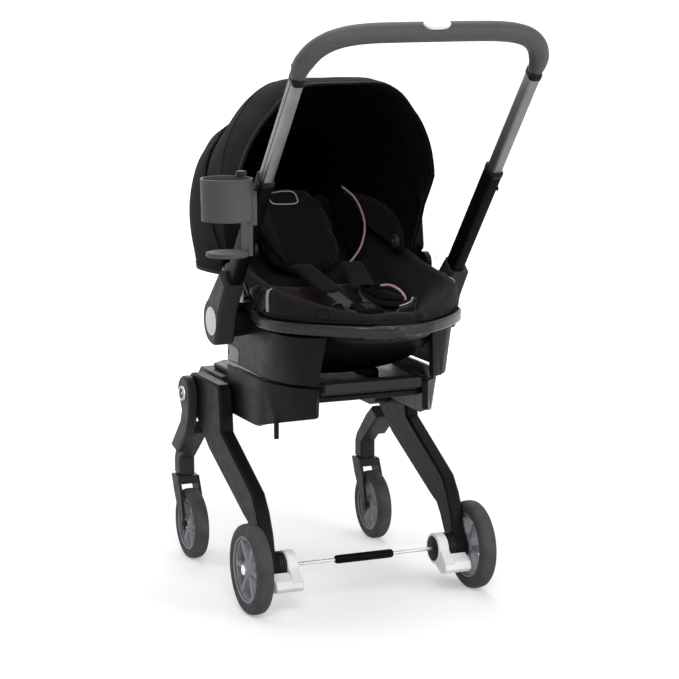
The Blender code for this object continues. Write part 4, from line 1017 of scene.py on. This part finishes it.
def canopy_sheet(name, layers, span, swells, across, steps):
    """One panel of cloth between two bows, with its lining on the inside."""
    section = canopy_half_turn(layers[0] * CANOPY_PITCH, across)
    shape = bmesh.new()
    rows = []
    for step in range(steps + 1):
        share = step / steps
        degrees = span[0] + (span[1] - span[0]) * share
        swell = swell_at(degrees) if swells else 1.0
        layer = layers[0] + (layers[1] - layers[0]) * share
        line = canopy_half_turn(layer * CANOPY_PITCH, across)
        window = math.sin(math.pi * share) ** 0.8 if 0.0 < share < 1.0 else 0.0
        row = []
        for x, reach in line:
            out = reach + cloth_ripple(x, reach, degrees, window)
            row.append(shape.verts.new(canopy_point(tucked(x, reach, degrees), out, degrees, swell)))
        rows.append(row)
    skin(shape, rows, ring=False)
    area = sum(face.calc_area() for face in shape.faces)
    made = make_object(name, shape, [CANOPY_OUT, CANOPY_IN])
    thicken(made, CANOPY_CLOTH)
    return made


def thicken(piece, thickness):
    """Give a cloth its thickness on the inside, with the second material there."""
    solid = piece.modifiers.new("thickness", "SOLIDIFY")
    solid.thickness = thickness
    solid.offset = -1.0
    solid.material_offset = 1
    solid.material_offset_rim = 0
    apply_modifiers(piece)


def apply_modifiers(piece):
    bpy.context.view_layer.update()
    mesh = bpy.data.meshes.new_from_object(piece.evaluated_get(bpy.context.evaluated_depsgraph_get()))
    piece.modifiers.clear()
    piece.data = mesh
    piece.data.shade_smooth()


def canopy_arch(layer, degrees, count, lift=0.0, swells=False):
    """Points along the canopy's section at one angle, and the outward direction at each."""
    section = canopy_half_turn(layer * CANOPY_PITCH, count)
    swell = swell_at(degrees) if swells else 1.0
    points = []
    outward = []
    for x, reach in section:
        hub = place(x * 0.5, CANOPY_PIVOT[0], CANOPY_PIVOT[1])
        point = canopy_point(tucked(x, reach, degrees), reach, degrees, swell)
        away = (point - hub).normalized()
        points.append(point + away * lift)
        outward.append(away)
    return points, outward


def canopy_band(name, layer, degrees, size, lift, material, swells=False):
    points, outward = canopy_arch(layer, degrees, 64, lift, swells)
    return cord_piece(name, points, outward, size, material, None, 10, 0.7)


def bend_between(piece, span, first, second):
    """Bake a canopy piece's transform into its mesh."""
    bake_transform(piece)


def make_canopy():
    rear = canopy_sheet("canopy_rear_cloth", (0, 0), REAR_PANEL, True, 97, 34)
    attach(rear, "carrier")
    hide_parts("canopy_rear")
    middle = canopy_sheet("canopy_middle_cloth", (1.0, 1.55), MIDDLE_PANEL, False, 97, 22)
    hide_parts("canopy_middle")
    front = canopy_sheet("canopy_front_cloth", (1.60, 2.0), FRONT_PANEL, False, 97, 22)
    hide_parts("canopy_front")
    for name, degrees, size in (("canopy_rear_hem", REAR_PANEL[0] + 0.8, HEM_SIZE),
                                ("canopy_rear_seam", REAR_PANEL[1] - 0.6, REAR_SEAM_SIZE)):
        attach(canopy_band(name, 0, degrees, size, 0.0, BINDING, True), "carrier")
    casing = canopy_band("canopy_bow_casing", 2, MIDDLE_PANEL[1] - 3.4, CASING_SIZE, -0.0040, CANOPY_IN)
    edge = canopy_band("canopy_front_binding", 2, FRONT_PANEL[1] - 0.4, BINDING_SIZE, 0.0, BINDING)
    for piece in (middle, casing):
        bend_between(piece, MIDDLE_PANEL, "carrier", "canopy_middle_body")
    for piece in (front, edge):
        bend_between(piece, FRONT_PANEL, "canopy_middle_body", "canopy_front_body")


# Seat cover

def shell_measures(y):
    """Half width and height of the rim, top, half width and bottom of the body under it."""
    half, rim, bottom, body, lip = (table_value(SHELL_STATIONS, y, k) for k in range(1, 6))
    return half, rim, rim - lip - BODY_BELOW_LIP, body, bottom


def bowl(half_width, top, bottom, steps):
    """Right-to-left points of a rounded trough, without its two top ends."""
    spots = [oval(math.pi * step / steps, half_width, top - bottom, 2 / BOWL_POWER)
             for step in range(1, steps)]
    return [(x, top - depth) for x, depth in spots]


def cover_lines(y, count):
    """Outer and inner line of the padded cover at y, right to left, with the same number of points."""
    half, rim, under, body, bottom = shell_measures(y)
    seat = table_value(SEAT_LINE, y)
    outer = half - 0.013 - 3.5 * LINER_CLEARANCE
    neck = body - SHELL_WALL - LINER_CLEARANCE
    wall = min(LINER_THICKNESS, WALL_SHARE * neck)
    shoulder = under + 0.008
    outer_bottom = max(seat - LINER_THICKNESS, bottom + SHELL_WALL + LINER_CLEARANCE)
    outer_bottom = min(outer_bottom, shoulder - 0.003)
    top = table_value(WALL_TOP, y) - 0.004
    roll = max(half - ROLL_INSET, outer + 0.004)
    rest = rim + 0.002
    right = [(roll - 0.0025, top), (roll, top - 0.005), (roll + 0.0012, (top + rest) / 2),
             (roll, rest + 0.003), (roll - 0.003, rest), (outer, rest), (neck, shoulder)]
    outside = right + bowl(neck, shoulder, outer_bottom, 14) + [(-x, z) for x, z in reversed(right)]
    inner_bottom = min(max(seat, outer_bottom + 0.008), top - 0.001)
    inner_shoulder = max(shoulder + 0.006, min(inner_bottom + 0.004, top - 0.0005))
    edge = max(roll - 0.005 - ROLL_THICKNESS, 0.45 * roll)
    floor = min(neck - wall, edge - 0.001)
    right = [(edge + 0.001, top), (edge - 0.001, top - 0.004), (floor, inner_shoulder)]
    inside = right + bowl(floor, inner_shoulder, inner_bottom, 14) + [(-x, z) for x, z in reversed(right)]
    return smooth_line(outside, count), smooth_line(inside, count)


def puff(share, seams):
    """0 on each seam and 1 between two of them; share runs from -1 to 1 across the cover."""
    reach = abs(share)
    for low, high in zip(seams, seams[1:]):
        if low <= reach <= high:
            return math.sin(math.pi * (reach - low) / (high - low)) ** 0.55
    return 0.0


def cover_ring(y, count, thin=1.0, shift=0.0):
    """Ring of points of the cover, thinned towards its middle line at the ends."""
    outside, inside = cover_lines(y, count)
    middle = (outside + inside) / 2
    ring = []
    for k in range(count):
        point = middle[k] + (outside[k] - middle[k]) * thin
        ring.append(place(point[0], y + shift, point[1]))
    crown = 0.0042 * thin
    left = (outside[-1] + inside[-1]) / 2
    ring.append(place(left[0], y + shift, left[1] + crown))
    for k in reversed(range(count)):
        share = 2.0 * k / (count - 1) - 1.0
        swell = 0.0032 * puff(share, (-0.62, 0.62, 0.90)) * thin
        toward = middle[k] - outside[k]
        length = max(1e-6, float(np.linalg.norm(toward)))
        point = middle[k] + (inside[k] - middle[k]) * thin + toward / length * swell
        ring.append(place(point[0], y + shift, point[1]))
    right = (outside[0] + inside[0]) / 2
    ring.append(place(right[0], y + shift, right[1] + crown))
    return ring


def make_seat_cover():
    """Padded cover that hangs inside the shell's rim, closed and rounded at both ends."""
    count = 57
    stations = 64
    rows = []
    for thin, shift in ((0.15, -0.0055), (0.55, -0.0046), (0.85, -0.0025)):
        rows.append(cover_ring(LINER_ENDS[0], count, thin, shift))
    for k in range(stations):
        rows.append(cover_ring(LINER_ENDS[0] + (LINER_ENDS[1] - LINER_ENDS[0]) * k / (stations - 1), count))
    for thin, shift in ((0.85, 0.0025), (0.55, 0.0042), (0.15, 0.0050)):
        rows.append(cover_ring(LINER_ENDS[1], count, thin, shift))
    cover = lofted("seat_cover", rows, [WALL_CLOTH], "carrier")
    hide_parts("seat_liner")
    return cover


def seat_height(x, y):
    """Height of the cover's seat surface at a place inside it."""
    _, _, under, body, _ = shell_measures(y)
    seat = table_value(SEAT_LINE, y)
    neck = body - SHELL_WALL - LINER_CLEARANCE
    inner = neck - min(LINER_THICKNESS, WALL_SHARE * neck)
    shoulder = under + 0.014
    share = min(1.0, abs(x) / inner)
    return shoulder - (shoulder - seat) * (1.0 - share ** BOWL_POWER) ** (1 / BOWL_POWER)


# Soft pads

def rounded_box_outline(half_u, half_v, power, count):
    return [oval(angle, half_u, half_v, power) for angle in around(count)]


def head_world(u, v, w):
    """Head support plane: u to the right, v up the reclined back, w out of the back."""
    y = HEAD_CENTRE[0] + v * math.cos(HEAD_TILT) - w * math.sin(HEAD_TILT)
    z = HEAD_CENTRE[1] + v * math.sin(HEAD_TILT) + w * math.cos(HEAD_TILT)
    return place(u, y, z)


def head_cup(u):
    """How far the head support turns up at a sideways place."""
    return HEAD_CUP * eased((abs(u) - CUP_FROM) / (HEAD_HALF_WIDTH - CUP_FROM))


def make_head_cushion():
    outline = rounded_box_outline(CUSHION_HALF_WIDTH, HEAD_HALF_LENGTH - 0.002, PAD_ROUNDNESS, 48)

    def cushion_world(u, v, w):
        return head_world(u + CUSHION_SHIFT, v, w - CUSHION_SINK + 0.35 * head_cup(u + CUSHION_SHIFT))

    cushion = crowned_pad("head_cushion", outline, cushion_world, CUSHION_HALF_THICKNESS, COVER)
    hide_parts("head_support")
    return cushion


def make_side_flap(label, side):
    """Turned-up side of the head support; the right one is near-black cloth, painted shade for its hollow.
    """
    outline = closed_line(SIDE_FLAP, 40)

    def flap_world(u, v, w):
        return head_world(side * u, v, w - FLAP_SINK + head_cup(u))

    # Painted shade: the right flap is near black, the left one the cover knit
    material = COVER if side < 0 else SHADE_FLAP_CLOTH
    return crowned_pad("head_flap_" + label, outline, flap_world, FLAP_HALF_THICKNESS, material)


def make_wing(label, side):
    outline = closed_line(WING_OUTLINE, 48)

    def wing_world(y, z, w):
        taper = 0.022 * max(0.0, (y - 0.20) / 0.17)
        return place(side * (WING_OUTSIDE - WING_SINK - taper - w), y, z)

    wing = crowned_pad("head_wing_pad_" + label, outline, wing_world, WING_HALF_THICKNESS, COVER)
    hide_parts("head_wing_" + label)
    return wing


def make_bolster(label, side):
    """Rounded bolster of the body insert along one side of the seat."""
    route = [place(side * BOLSTER_X, y, seat_height(BOLSTER_X, y) + BOLSTER_LIFT)
             for y in np.linspace(*BOLSTER_ENDS, 14)]
    rows = []
    for k, (_, across, up) in enumerate(frames_along(route, UPWARD)):
        share = k / (len(route) - 1)
        radius = BOLSTER_RADIUS * (1.0 - (2.0 * share - 1.0) ** 4) ** 0.5 + BOLSTER_TIP
        rows.append([route[k] + across * radius * 1.2 * math.cos(angle) + up * radius * math.sin(angle)
                     for angle in around(16)])
    bolster = lofted("insert_roll_" + label, rows, [INSERT])
    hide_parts("insert_bolster_" + label)
    return bolster


def foot_rise(x, y):
    """How far the insert climbs the foot wall, beside the slot of the crotch strap."""
    beside = max(0.0, min(1.0, (abs(x) - 0.016) / 0.022))
    return FOOT_CLIMB * eased((-0.004 - y) / 0.052) * beside


def make_insert_pad():
    """Thin padded insert that lies on the seat, between the bolsters and up the back."""
    y_low, y_high = INSERT_ENDS
    columns, lines = 37, 45
    shape = bmesh.new()
    tops = []
    bottoms = []
    for j in range(lines):
        v = 2.0 * j / (lines - 1) - 1.0
        y = (y_low + y_high) / 2 + v * (y_high - y_low) / 2
        top_row = []
        bottom_row = []
        for i in range(columns):
            u = 2.0 * i / (columns - 1) - 1.0
            x = u * INSERT_HALF_WIDTH * (1.0 - 0.10 * v * v) * (1.0 - FOOT_TAPER * max(0.0, -v) ** 2)
            thickness = INSERT_THICKNESS * ((1.0 - abs(u) ** 6) * (1.0 - abs(v) ** 6)) ** 0.5
            channel = QUILT_DEPTH * (math.exp(-((u - QUILT_PLACE) / QUILT_WIDTH) ** 2)
                                     + math.exp(-((u + QUILT_PLACE) / QUILT_WIDTH) ** 2))
            base = seat_height(x, y) + INSERT_LIFT + foot_rise(x, y)
            top_row.append(shape.verts.new(place(x, y, base + max(0.0006, thickness - channel))))
            bottom_row.append(shape.verts.new(place(x, y, base)))
        tops.append(top_row)
        bottoms.append(bottom_row)
    skin(shape, tops, ring=False)
    skin(shape, bottoms, ring=False)
    for rows in ((tops[0], bottoms[0]), (tops[-1], bottoms[-1])):
        skin(shape, rows, ring=False)
    for side in (0, -1):
        skin(shape, ([row[side] for row in tops], [row[side] for row in bottoms]), ring=False)
    pad = make_object("insert_pad", shape, [INSERT], "carrier")


def remesh_pad(piece, voxel):
    """Even faces over the pad, slightly smoothed."""
    remesh = piece.modifiers.new("remesh", "REMESH")
    remesh.mode = "VOXEL"
    remesh.voxel_size = voxel
    apply_modifiers(piece)
    smooth = piece.modifiers.new("smooth", "SMOOTH")
    smooth.iterations = 3
    smooth.factor = 0.5
    apply_modifiers(piece)


def start_cloth(piece, pressure):
    fabric = piece.modifiers.new("cloth", "CLOTH")
    settings = fabric.settings
    settings.quality = 5
    settings.use_pressure = True
    settings.uniform_pressure_force = pressure
    settings.effector_weights.gravity = 0.0
    settings.tension_stiffness = 15.0
    settings.bending_stiffness = 0.6
    fabric.point_cache.frame_start = 1
    fabric.point_cache.frame_end = PUFF_FRAMES


def keep_swell(piece, start, cap):
    """Keep the simulated shape, with no vertex moved farther than the cap."""
    evaluated = piece.evaluated_get(bpy.context.evaluated_depsgraph_get())
    offset = vertex_places(evaluated.data) - start
    length = np.linalg.norm(offset, axis=1, keepdims=True)
    limited = start + offset * np.minimum(1.0, cap / np.maximum(length, 1e-9))
    piece.modifiers.clear()
    piece.data.vertices.foreach_set("co", limited.astype(np.float32).ravel())
    piece.data.update()


def inflate(pads):
    """Puff the pads with a short cloth simulation; each entry is (piece, voxel, cap, pressure)."""
    scene = bpy.context.scene
    starts = []
    for piece, voxel, _, pressure in pads:
        remesh_pad(piece, voxel)
        starts.append(vertex_places(piece.data))
        start_cloth(piece, pressure)
    for step in range(1, PUFF_FRAMES + 1):
        scene.frame_set(step)
    for (piece, _, cap, _), start in zip(pads, starts):
        keep_swell(piece, start, cap)
        finer = piece.modifiers.new("finer", "SUBSURF")
        finer.levels = 1
        finer.render_levels = 1
        apply_modifiers(piece)
    scene.frame_set(1)


def vertex_places(mesh):
    places = np.empty(len(mesh.vertices) * 3, np.float32)
    mesh.vertices.foreach_get("co", places)
    return places.reshape(-1, 3).astype(float)


def make_pads():
    """Head support, wings and bolsters, puffed together."""
    cushion = make_head_cushion()
    flaps = [make_side_flap(label, side) for label, side in SIDES]
    wings = [make_wing(label, side) for label, side in SIDES]
    rolls = [make_bolster(label, side) for label, side in SIDES]
    pads = [(cushion, 0.005, 0.005, 4.0)]
    pads += [(flap, 0.004, 0.002, 3.0) for flap in flaps]
    pads += [(wing, 0.004, 0.003, 3.0) for wing in wings]
    pads += [(roll, 0.004, 0.002, 3.0) for roll in rolls]
    inflate(pads)
    # The right head flap is painted shade cloth, not the cover fabric named for the flaps here
    for group, slot, fill in (([cushion], "cover_fabric", 0.7), (flaps, "cover_fabric", 0.5),
                              (wings, "cover_fabric", 0.5), (rolls, "insert_fabric", 0.7)):
        for piece in group:
            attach(piece, "carrier")
    return cushion


def surface_of(*pieces):
    """Search tree over the surfaces of pieces, to lay trim on them."""
    places = []
    faces = []
    for piece in pieces:
        base = len(places)
        places.extend(vertex.co.copy() for vertex in piece.data.vertices)
        faces.extend([base + k for k in polygon.vertices] for polygon in piece.data.polygons)
    return BVHTree.FromPolygons(places, faces)


def lay_on(surface, points, direction, lift):
    """Points dropped along a direction onto a surface, then lifted back by lift."""
    direction = direction.normalized()
    laid = []
    for point in points:
        found = surface.ray_cast(Vector(point) - direction * 0.12, direction)[0]
        laid.append((found if found is not None else Vector(point)) - direction * lift)
    return laid


def stitch_line(name, points, upward, body, pitch=0.0042, width=0.0007):
    """Row of short raised stitches along a path."""
    travelled = [0.0]
    for before, after in zip(points, points[1:]):
        travelled.append(travelled[-1] + (Vector(after) - Vector(before)).length)
    table = np.array([list(point) for point in points])
    shape = bmesh.new()
    for step in range(int(travelled[-1] / pitch)):
        ends = []
        for share in (0.18, 0.5, 0.82):
            at = (step + share) * pitch
            ends.append(Vector([float(np.interp(at, travelled, table[:, k])) for k in range(3)]))
        guide = upward
        if isinstance(upward, list):
            guide = upward[int(np.searchsorted(travelled, (step + 0.5) * pitch)) - 1]
        ends[1] = ends[1] + guide * (width * 0.5)
        sweep(shape, ends, guide, (width, width), 6)
    return make_object(name, shape, [THREAD], body)


def make_head_trim(cushion):
    """Piping on the right turned-up side, a bare outlined patch and the head support's seam."""
    out = (head_world(0, 0, 1) - head_world(0, 0, 0)).normalized()
    points = smooth_line([tuple(head_world(u, v, head_cup(u) + 0.001)) for u, v in HEAD_PIPING], 40)
    cord_piece("head_piping", points, out, HEAD_PIPING_SIZE, PINK, "carrier", 10)
    surface = surface_of(cushion)
    patch = rounded_box_outline(*PATCH_HALF, 0.50, 40)
    spots = [head_world(u + PATCH_MIDDLE[0], v + PATCH_MIDDLE[1], 0.0) for u, v in patch]
    points = lay_on(surface, spots, -out, 0.0004)
    cord_piece("head_patch_outline", points, out, PATCH_LINE_SIZE, WHITE_PIPING, "carrier",
               8, 1.0, True)
    edge = rounded_box_outline(*HEAD_SEAM_HALF, PAD_ROUNDNESS, 72)
    spots = [head_world(u + CUSHION_SHIFT, v, 0.0) for u, v in edge + edge[:1]]
    points = lay_on(surface, spots, -out, 0.0001)
    stitch_line("head_cushion_stitches", points, out, "carrier")


# Harness

def strap_route(side, lift=0.0):
    """Middle line of a shoulder strap, from the back down to the buckle."""
    return smooth_line([tuple(place(side * x, y, z + lift)) for x, y, z in STRAP_LINE], 40)


def strap_ups(points):
    ups = []
    for before, after in zip([points[0]] + list(points[:-1]), list(points[1:]) + [points[-1]]):
        forward = (Vector(after) - Vector(before)).normalized()
        ups.append(RIGHTWARD.cross(forward).normalized())
    return ups


def make_harness():
    for label, side in SIDES:
        points = strap_route(side)
        strap = cord_piece("harness_strap_" + label, points, strap_ups(points), STRAP_SIZE, WEBBING,
                           "carrier", 12, 0.35)
        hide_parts("shoulder_strap_" + label)
        sleeve = strap_route(side, 0.001)[2:27]
        pad = cord_piece("strap_pad_" + label, sleeve, strap_ups(sleeve), STRAP_PAD_SIZE, COVER, "carrier",
                         20, PAD_ROUNDNESS)
    points = smooth_line([tuple(place(0.0, y, z)) for y, z in CROTCH_LINE], 12)
    strap = cord_piece("crotch_webbing", points, strap_ups(points), CROTCH_SIZE, WEBBING, "carrier",
                       12, 0.35)
    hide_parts("crotch_strap")


# Wheels

def make_wheel(end, label, side):
    """Smooth tyre with a groove on each flank, and the rim's two beads."""
    wheel = end + "_" + label
    body = end + "_wheel_body_" + label
    low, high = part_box(wheel + "_tyre")
    rim_low, rim_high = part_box(wheel + "_rim")
    centre = box_middle(low, high)
    half = (high[0] - low[0]) / 2
    outer = (high[2] - low[2]) / 2
    inner = min(math.hypot(vertex.co.y - centre.y, vertex.co.z - centre.z)
                for vertex in NODES[wheel + "_tyre"].data.vertices)
    right = [(half * across, inner + (outer - inner) * rise) for across, rise in TYRE_SECTION]
    loop = right + facing(-1.0, reversed(right[:-1]))
    tyre = ring_piece(wheel + "_tyre_ring", loop, centre, TYRE, body, 120)
    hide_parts(wheel + "_tyre")
    rim_half = (rim_high[0] - rim_low[0]) / 2
    for face, sign in (("inner", -side), ("outer", side)):
        at = centre + Vector((sign * rim_half, 0.0, 0.0))
        bead = [(along, inner + rise) for along, rise in facing(sign, RIM_BEAD)]
        ring_piece(wheel + "_bead_" + face, bead, at, RIM, body, 120)


def make_wheel_screws():
    for label, side in SIDES:
        for wheel, node, body in (("rear", "rear_axle_" + label, "rear_legs"),
                                  ("front", "front_" + label + "_rim", "front_wheel_body_" + label)):
            low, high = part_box(node)
            middle = box_middle(low, high)
            spot = Vector((high[0] if side > 0 else low[0], middle.y, middle.z))
            turned_piece(wheel + "_screw_" + label, facing(side, AXLE_SCREW), spot, SCREW, body,
                         32)


def make_brake_link():
    """Twisted steel cable between the brake rings, with a collar at each end of its sleeve."""
    low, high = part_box("brake_link_rod")
    middle = box_middle(low, high)
    reach = (high[2] - low[2]) / 2
    shape = bmesh.new()
    for strand in range(CABLE_STRANDS):
        points = []
        outward = []
        for x in np.linspace(low[0], high[0], 150):
            angle = 2.0 * math.pi * (strand / CABLE_STRANDS + x / CABLE_TWIST)
            away = Vector((0.0, math.cos(angle), math.sin(angle)))
            points.append(Vector((float(x), middle.y, middle.z)) + away * (reach * 0.60))
            outward.append(away)
        sweep(shape, points, outward, (reach * 0.84, reach * 0.84), 8)
    cable = make_object("brake_cable", shape, [CABLE], "brake")
    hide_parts("brake_link_rod")
    low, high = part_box("brake_link_sleeve")
    for (label, sign), end in zip(SIDES, (low[0], high[0])):
        spot = Vector((end, middle.y, middle.z))
        turned_piece("brake_sleeve_end_" + label, facing(sign, SLEEVE_END), spot, SLEEVE, "brake",
                     28)


def make_brake_details():
    """Ribs round the black drum and the dark disc on the inner face of each brake ring."""
    axle_height = box_middle(*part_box("brake_link_rod")).z
    for label, side in SIDES:
        for k, x in enumerate(DRUM_RIB_X):
            spot = place(side * x, 0.0, axle_height)
            ring_piece("drum_rib_%d_%s" % (k, label), DRUM_RIB, spot, RIM_GLOSS, "rear_legs",
                       64)
        spot = place(side * BRAKE_DISC_X, 0.0, axle_height)
        turned_piece("brake_disc_" + label, facing(-side, BRAKE_DISC), spot, DEEP_BLACK_AND_SHADE, "brake",
                     48)


# Handle details

def handle_points(side, low, high, count, x=HANDLE_X):
    points = []
    for distance in np.linspace(low, high, count):
        points.append(place(side * x, *along_handle(float(distance))))
    return points


def dome(name, spot, side, radius, height, material, body):
    """Low rivet head on a face that looks sideways."""
    profile = [(side * along, share * radius) for along, share in
               ((-0.4 * height, 1.0), (0.35 * height, 1.0), (0.75 * height, 0.82), (0.95 * height, 0.5),
                (height, 0.1))]
    return turned_piece(name, profile, spot, material, body, 28)


def make_tube_details(label, side, grip):
    """Groove, collars and rivets of one tube; grip is the surface that the upper rivet sits on."""
    groove = handle_points(side, SLEEVE_TOP - 0.030, INNER_TUBE_TOP - 0.004, 20, GROOVE_X)
    cord_piece("tube_groove_" + label, groove, RIGHTWARD, GROOVE_SIZE, GROOVE, "handle_upper",
               8, 0.6)
    collar = handle_points(side, SLEEVE_TOP - 0.0075, SLEEVE_TOP + 0.0006, 3)
    cord_piece("sleeve_collar_" + label, collar, RIGHTWARD, SLEEVE_COLLAR_SIZE, BLACK, "handle_lower",
               40, 0.55)
    collar = handle_points(side, INNER_TUBE_TOP - 0.0085, INNER_TUBE_TOP + 0.0010, 3)
    cord_piece("grip_collar_" + label, collar, RIGHTWARD, GRIP_COLLAR_SIZE, BLACK, "handle_upper",
               40, 0.55)
    dome("tube_rivet_" + label, mirror_place(side, TUBE_RIVET), side, 0.0042, 0.0014, GREY, "handle_lower")
    spot = lay_on(grip, [mirror_place(side, GRIP_RIVET)], Vector((-side, 0.0, 0.0)), 0.0)[0]
    dome("grip_rivet_" + label, spot, side, 0.0036, 0.0016, GREY, "handle_upper")


def make_hub_details(label, side):
    """Pale disc on the handle's hub, and the ring and six-sided cap on the leg pivot."""
    spot = place(side * HUB_FACE_X, *HANDLE_HUB)
    turned_piece("hub_disc_" + label, facing(side, HUB_DISC), spot, PALE_RING, "hub_button_body_" + label,
                 56)
    low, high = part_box("leg_pivot_" + label)
    pivot = Vector((high[0] if side > 0 else low[0], *place(0.0, *LEG_PIVOT)[1:]))
    ring_piece("leg_hub_ring_" + label, facing(side, LEG_RING), pivot, PALE_RING, "carrier",
               48)
    turned_piece("leg_hub_cap_" + label, facing(side, LEG_CAP), pivot, DEEP_BLACK_AND_SHADE, "carrier", 6)


def make_handle_details(grip_piece):
    grip = surface_of(grip_piece)
    for label, side in SIDES:
        make_tube_details(label, side, grip)
        make_hub_details(label, side)
    turned_piece("cup_holder_knob", CUP_KNOB, place(*CUP_KNOB_PLACE), GREY, "handle_lower",
                 32, True)


# Carrier details

def side_plate(name, surface, outline, side, thickness, material):
    """Thin rounded plate laid on a side of the carrier; the outline is (y, z)."""
    edge = closed_line(outline, 48)
    inward = Vector((-side, 0.0, 0.0))
    shape = bmesh.new()
    rows = []
    for share, lift in ((1.0, -0.0015), (1.0, 0.6 * thickness), (0.95, thickness), (0.5, thickness)):
        ring = [place(side * PLATE_OUTSIDE, y, z) for y, z in scaled(edge, share)]
        rows.append([shape.verts.new(point) for point in lay_on(surface, ring, inward, lift)])
    skin(shape, rows)
    centre = lay_on(surface, [place(side * PLATE_OUTSIDE, *scaled(edge, 0.0)[0])], inward, thickness)[0]
    fan(shape, rows[-1], centre)
    shape.faces.new(rows[0])
    return make_object(name, shape, [material], "carrier")


# The light strips are painted reflection on the glossy shell and belt guide
PLATES = (("belt_guide", BELT_GUIDE, 0.0022, BLACK, "black_plastic"),
          ("belt_guide_painted_reflection", GUIDE_REFLECTION, 0.0030, PAINTED_REFLECTION, "grey_plastic"),
          ("shell_painted_reflection", SHELL_REFLECTION, 0.0012, PAINTED_REFLECTION, "grey_plastic"),
          ("shell_low_painted_reflection", LOWER_REFLECTION, 0.0012, PAINTED_REFLECTION, "grey_plastic"))

def make_carrier_details(cover):
    for label, side in SIDES:
        under = [NODES[name] for name in ("seat_shell", "shell_skirt_" + label, "base_panel_" + label)]
        surface = surface_of(cover, *under)
        for name, outline, thickness, material, slot in PLATES:
            side_plate(name + "_" + label, surface, outline, side, thickness, material)
        spot = mirror_place(side, HOOD_KNOB_PLACE)
        turned_piece("hood_knob_" + label, facing(-side, HOOD_KNOB), spot, GREY, "carrier",
                     40)
        head = spot + Vector((-side * 0.0036, 0.0, 0.0))
        dome("hood_knob_screw_" + label, head, -side, 0.0030, 0.0012, SCREW, "carrier")


def wall_seam_points(surface):
    """Line round the outside of the padded wall, from the back on the left to the back on the right."""
    left = []
    for y in np.linspace(*SEAM_ENDS, 90):
        half, rim = shell_measures(float(y))[:2]
        height = rim + SEAM_RISE
        spot = place(-half - 0.02, float(y), height)
        left.append(lay_on(surface, [spot], RIGHTWARD, 0.0002)[0])
    front = []
    height = shell_measures(SEAM_ENDS[1])[1] + SEAM_RISE
    for x in np.linspace(-0.078, 0.078, 33):
        front.append(lay_on(surface, [place(float(x), -0.17, height)], FORWARD, 0.0002)[0])
    mirrored = [Vector((2.0 * MIDDLE_X - point.x, point.y, point.z)) for point in reversed(left)]
    return left + front + mirrored


def make_cover_trim(cover):
    """Piping at the insert's foot and on the strap end, a small loop on the wall and the wall's seam."""
    surface = surface_of(cover)
    first, last = FOOT_PIPING_ENDS
    points = []
    for x in np.linspace(first, last, 20):
        y = -0.0540 + 0.0060 * ((float(x) - first) / (last - first)) ** 3
        z = seat_height(x, y) + INSERT_LIFT + foot_rise(x, y) + 0.0078
        points.append(place(float(x), y, z))
    cord_piece("foot_piping", points, UPWARD, FOOT_PIPING_SIZE, WHITE_PIPING, "carrier", 10)
    points = smooth_line([tuple(place(*point)) for point in STRAP_END_PIPING], 26)
    cord_piece("strap_pad_piping", points, UPWARD, STRAP_PIPING_SIZE, PINK, "carrier", 12)
    seam = wall_seam_points(surface)
    centre = place(0.0, WALL_CENTRE_Y, 0.0)
    outward = [Vector((point.x - centre.x, point.y - centre.y, 0.0)).normalized() for point in seam]
    stitch_line("wall_stitches", seam, outward, "carrier", 0.0050, 0.0009)
    inward = Vector((0.62, 0.78, 0.0))
    across = Vector((0.78, -0.62, 0.0))
    corners = rounded_box_outline(*LOOP_HALF, 0.30, 36)
    spots = [place(*LOOP_PLACE) + across * u + UPWARD * v for u, v in corners]
    points = lay_on(surface, spots, inward, 0.0004)
    cord_piece("wall_loop", points, -inward, LOOP_SIZE, BINDING, "carrier", 8, 1.0, True)


def make_strap_ends():
    """Padded lower end of the right shoulder pad, and the stitching along both pads."""

    def end_world(u, v, w):
        return place(u, v, 0.5060 + 0.22 * v + w)

    pad = crowned_pad("strap_end_pad", closed_line(STRAP_END, 44), end_world, 0.0100, COVER)
    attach(pad, "carrier")
    for label, side in SIDES:
        route = strap_route(side, 0.001)[3:26]
        ups = strap_ups(route)
        for edge, sign in (("inner", -1.0), ("outer", 1.0)):
            points = [Vector(point) + Vector((sign * side * 0.0150, 0.0, 0.0)) + up * 0.0040
                      for point, up in zip(route, ups)]
            stitch_line("strap_pad_stitches_%s_%s" % (edge, label), points, ups, "carrier")


def make_canopy_stitches():
    """Rows of stitches beside the canopy's seams and its front binding."""
    for name, layer, degrees, swells, span, bodies in (
            ("canopy_stitches_rear", 0, REAR_PANEL[1] - 2.0, True, None, None),
            ("canopy_stitches_hem", 0, REAR_PANEL[0] + 2.6, True, None, None),
            ("canopy_stitches_middle", 1.0, MIDDLE_PANEL[0] + 4.2, False, MIDDLE_PANEL,
             ("carrier", "canopy_middle_body")),
            ("canopy_stitches_front", 2.0, FRONT_PANEL[1] - 2.2, False, FRONT_PANEL,
             ("canopy_middle_body", "canopy_front_body"))):
        points, outward = canopy_arch(layer, degrees, 200, 0.0004, swells)
        row = stitch_line(name, points, outward, None, 0.0055, 0.0010)
        if span is None:
            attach(row, "carrier")
        else:
            bend_between(row, span, *bodies)


make_stage()
make_world()
make_lights()
make_camera()
finish_nodes()
make_shell()
handle_cover = make_grip()
make_canopy()
make_canopy_stitches()
seat_cover = make_seat_cover()
make_insert_pad()
make_head_trim(make_pads())
make_harness()
make_strap_ends()
make_cover_trim(seat_cover)
make_carrier_details(seat_cover)
for wheel_end in ("rear", "front"):
    for side_name, side_sign in SIDES:
        make_wheel(wheel_end, side_name, side_sign)
make_wheel_screws()
make_brake_link()
make_brake_details()
make_handle_details(handle_cover)
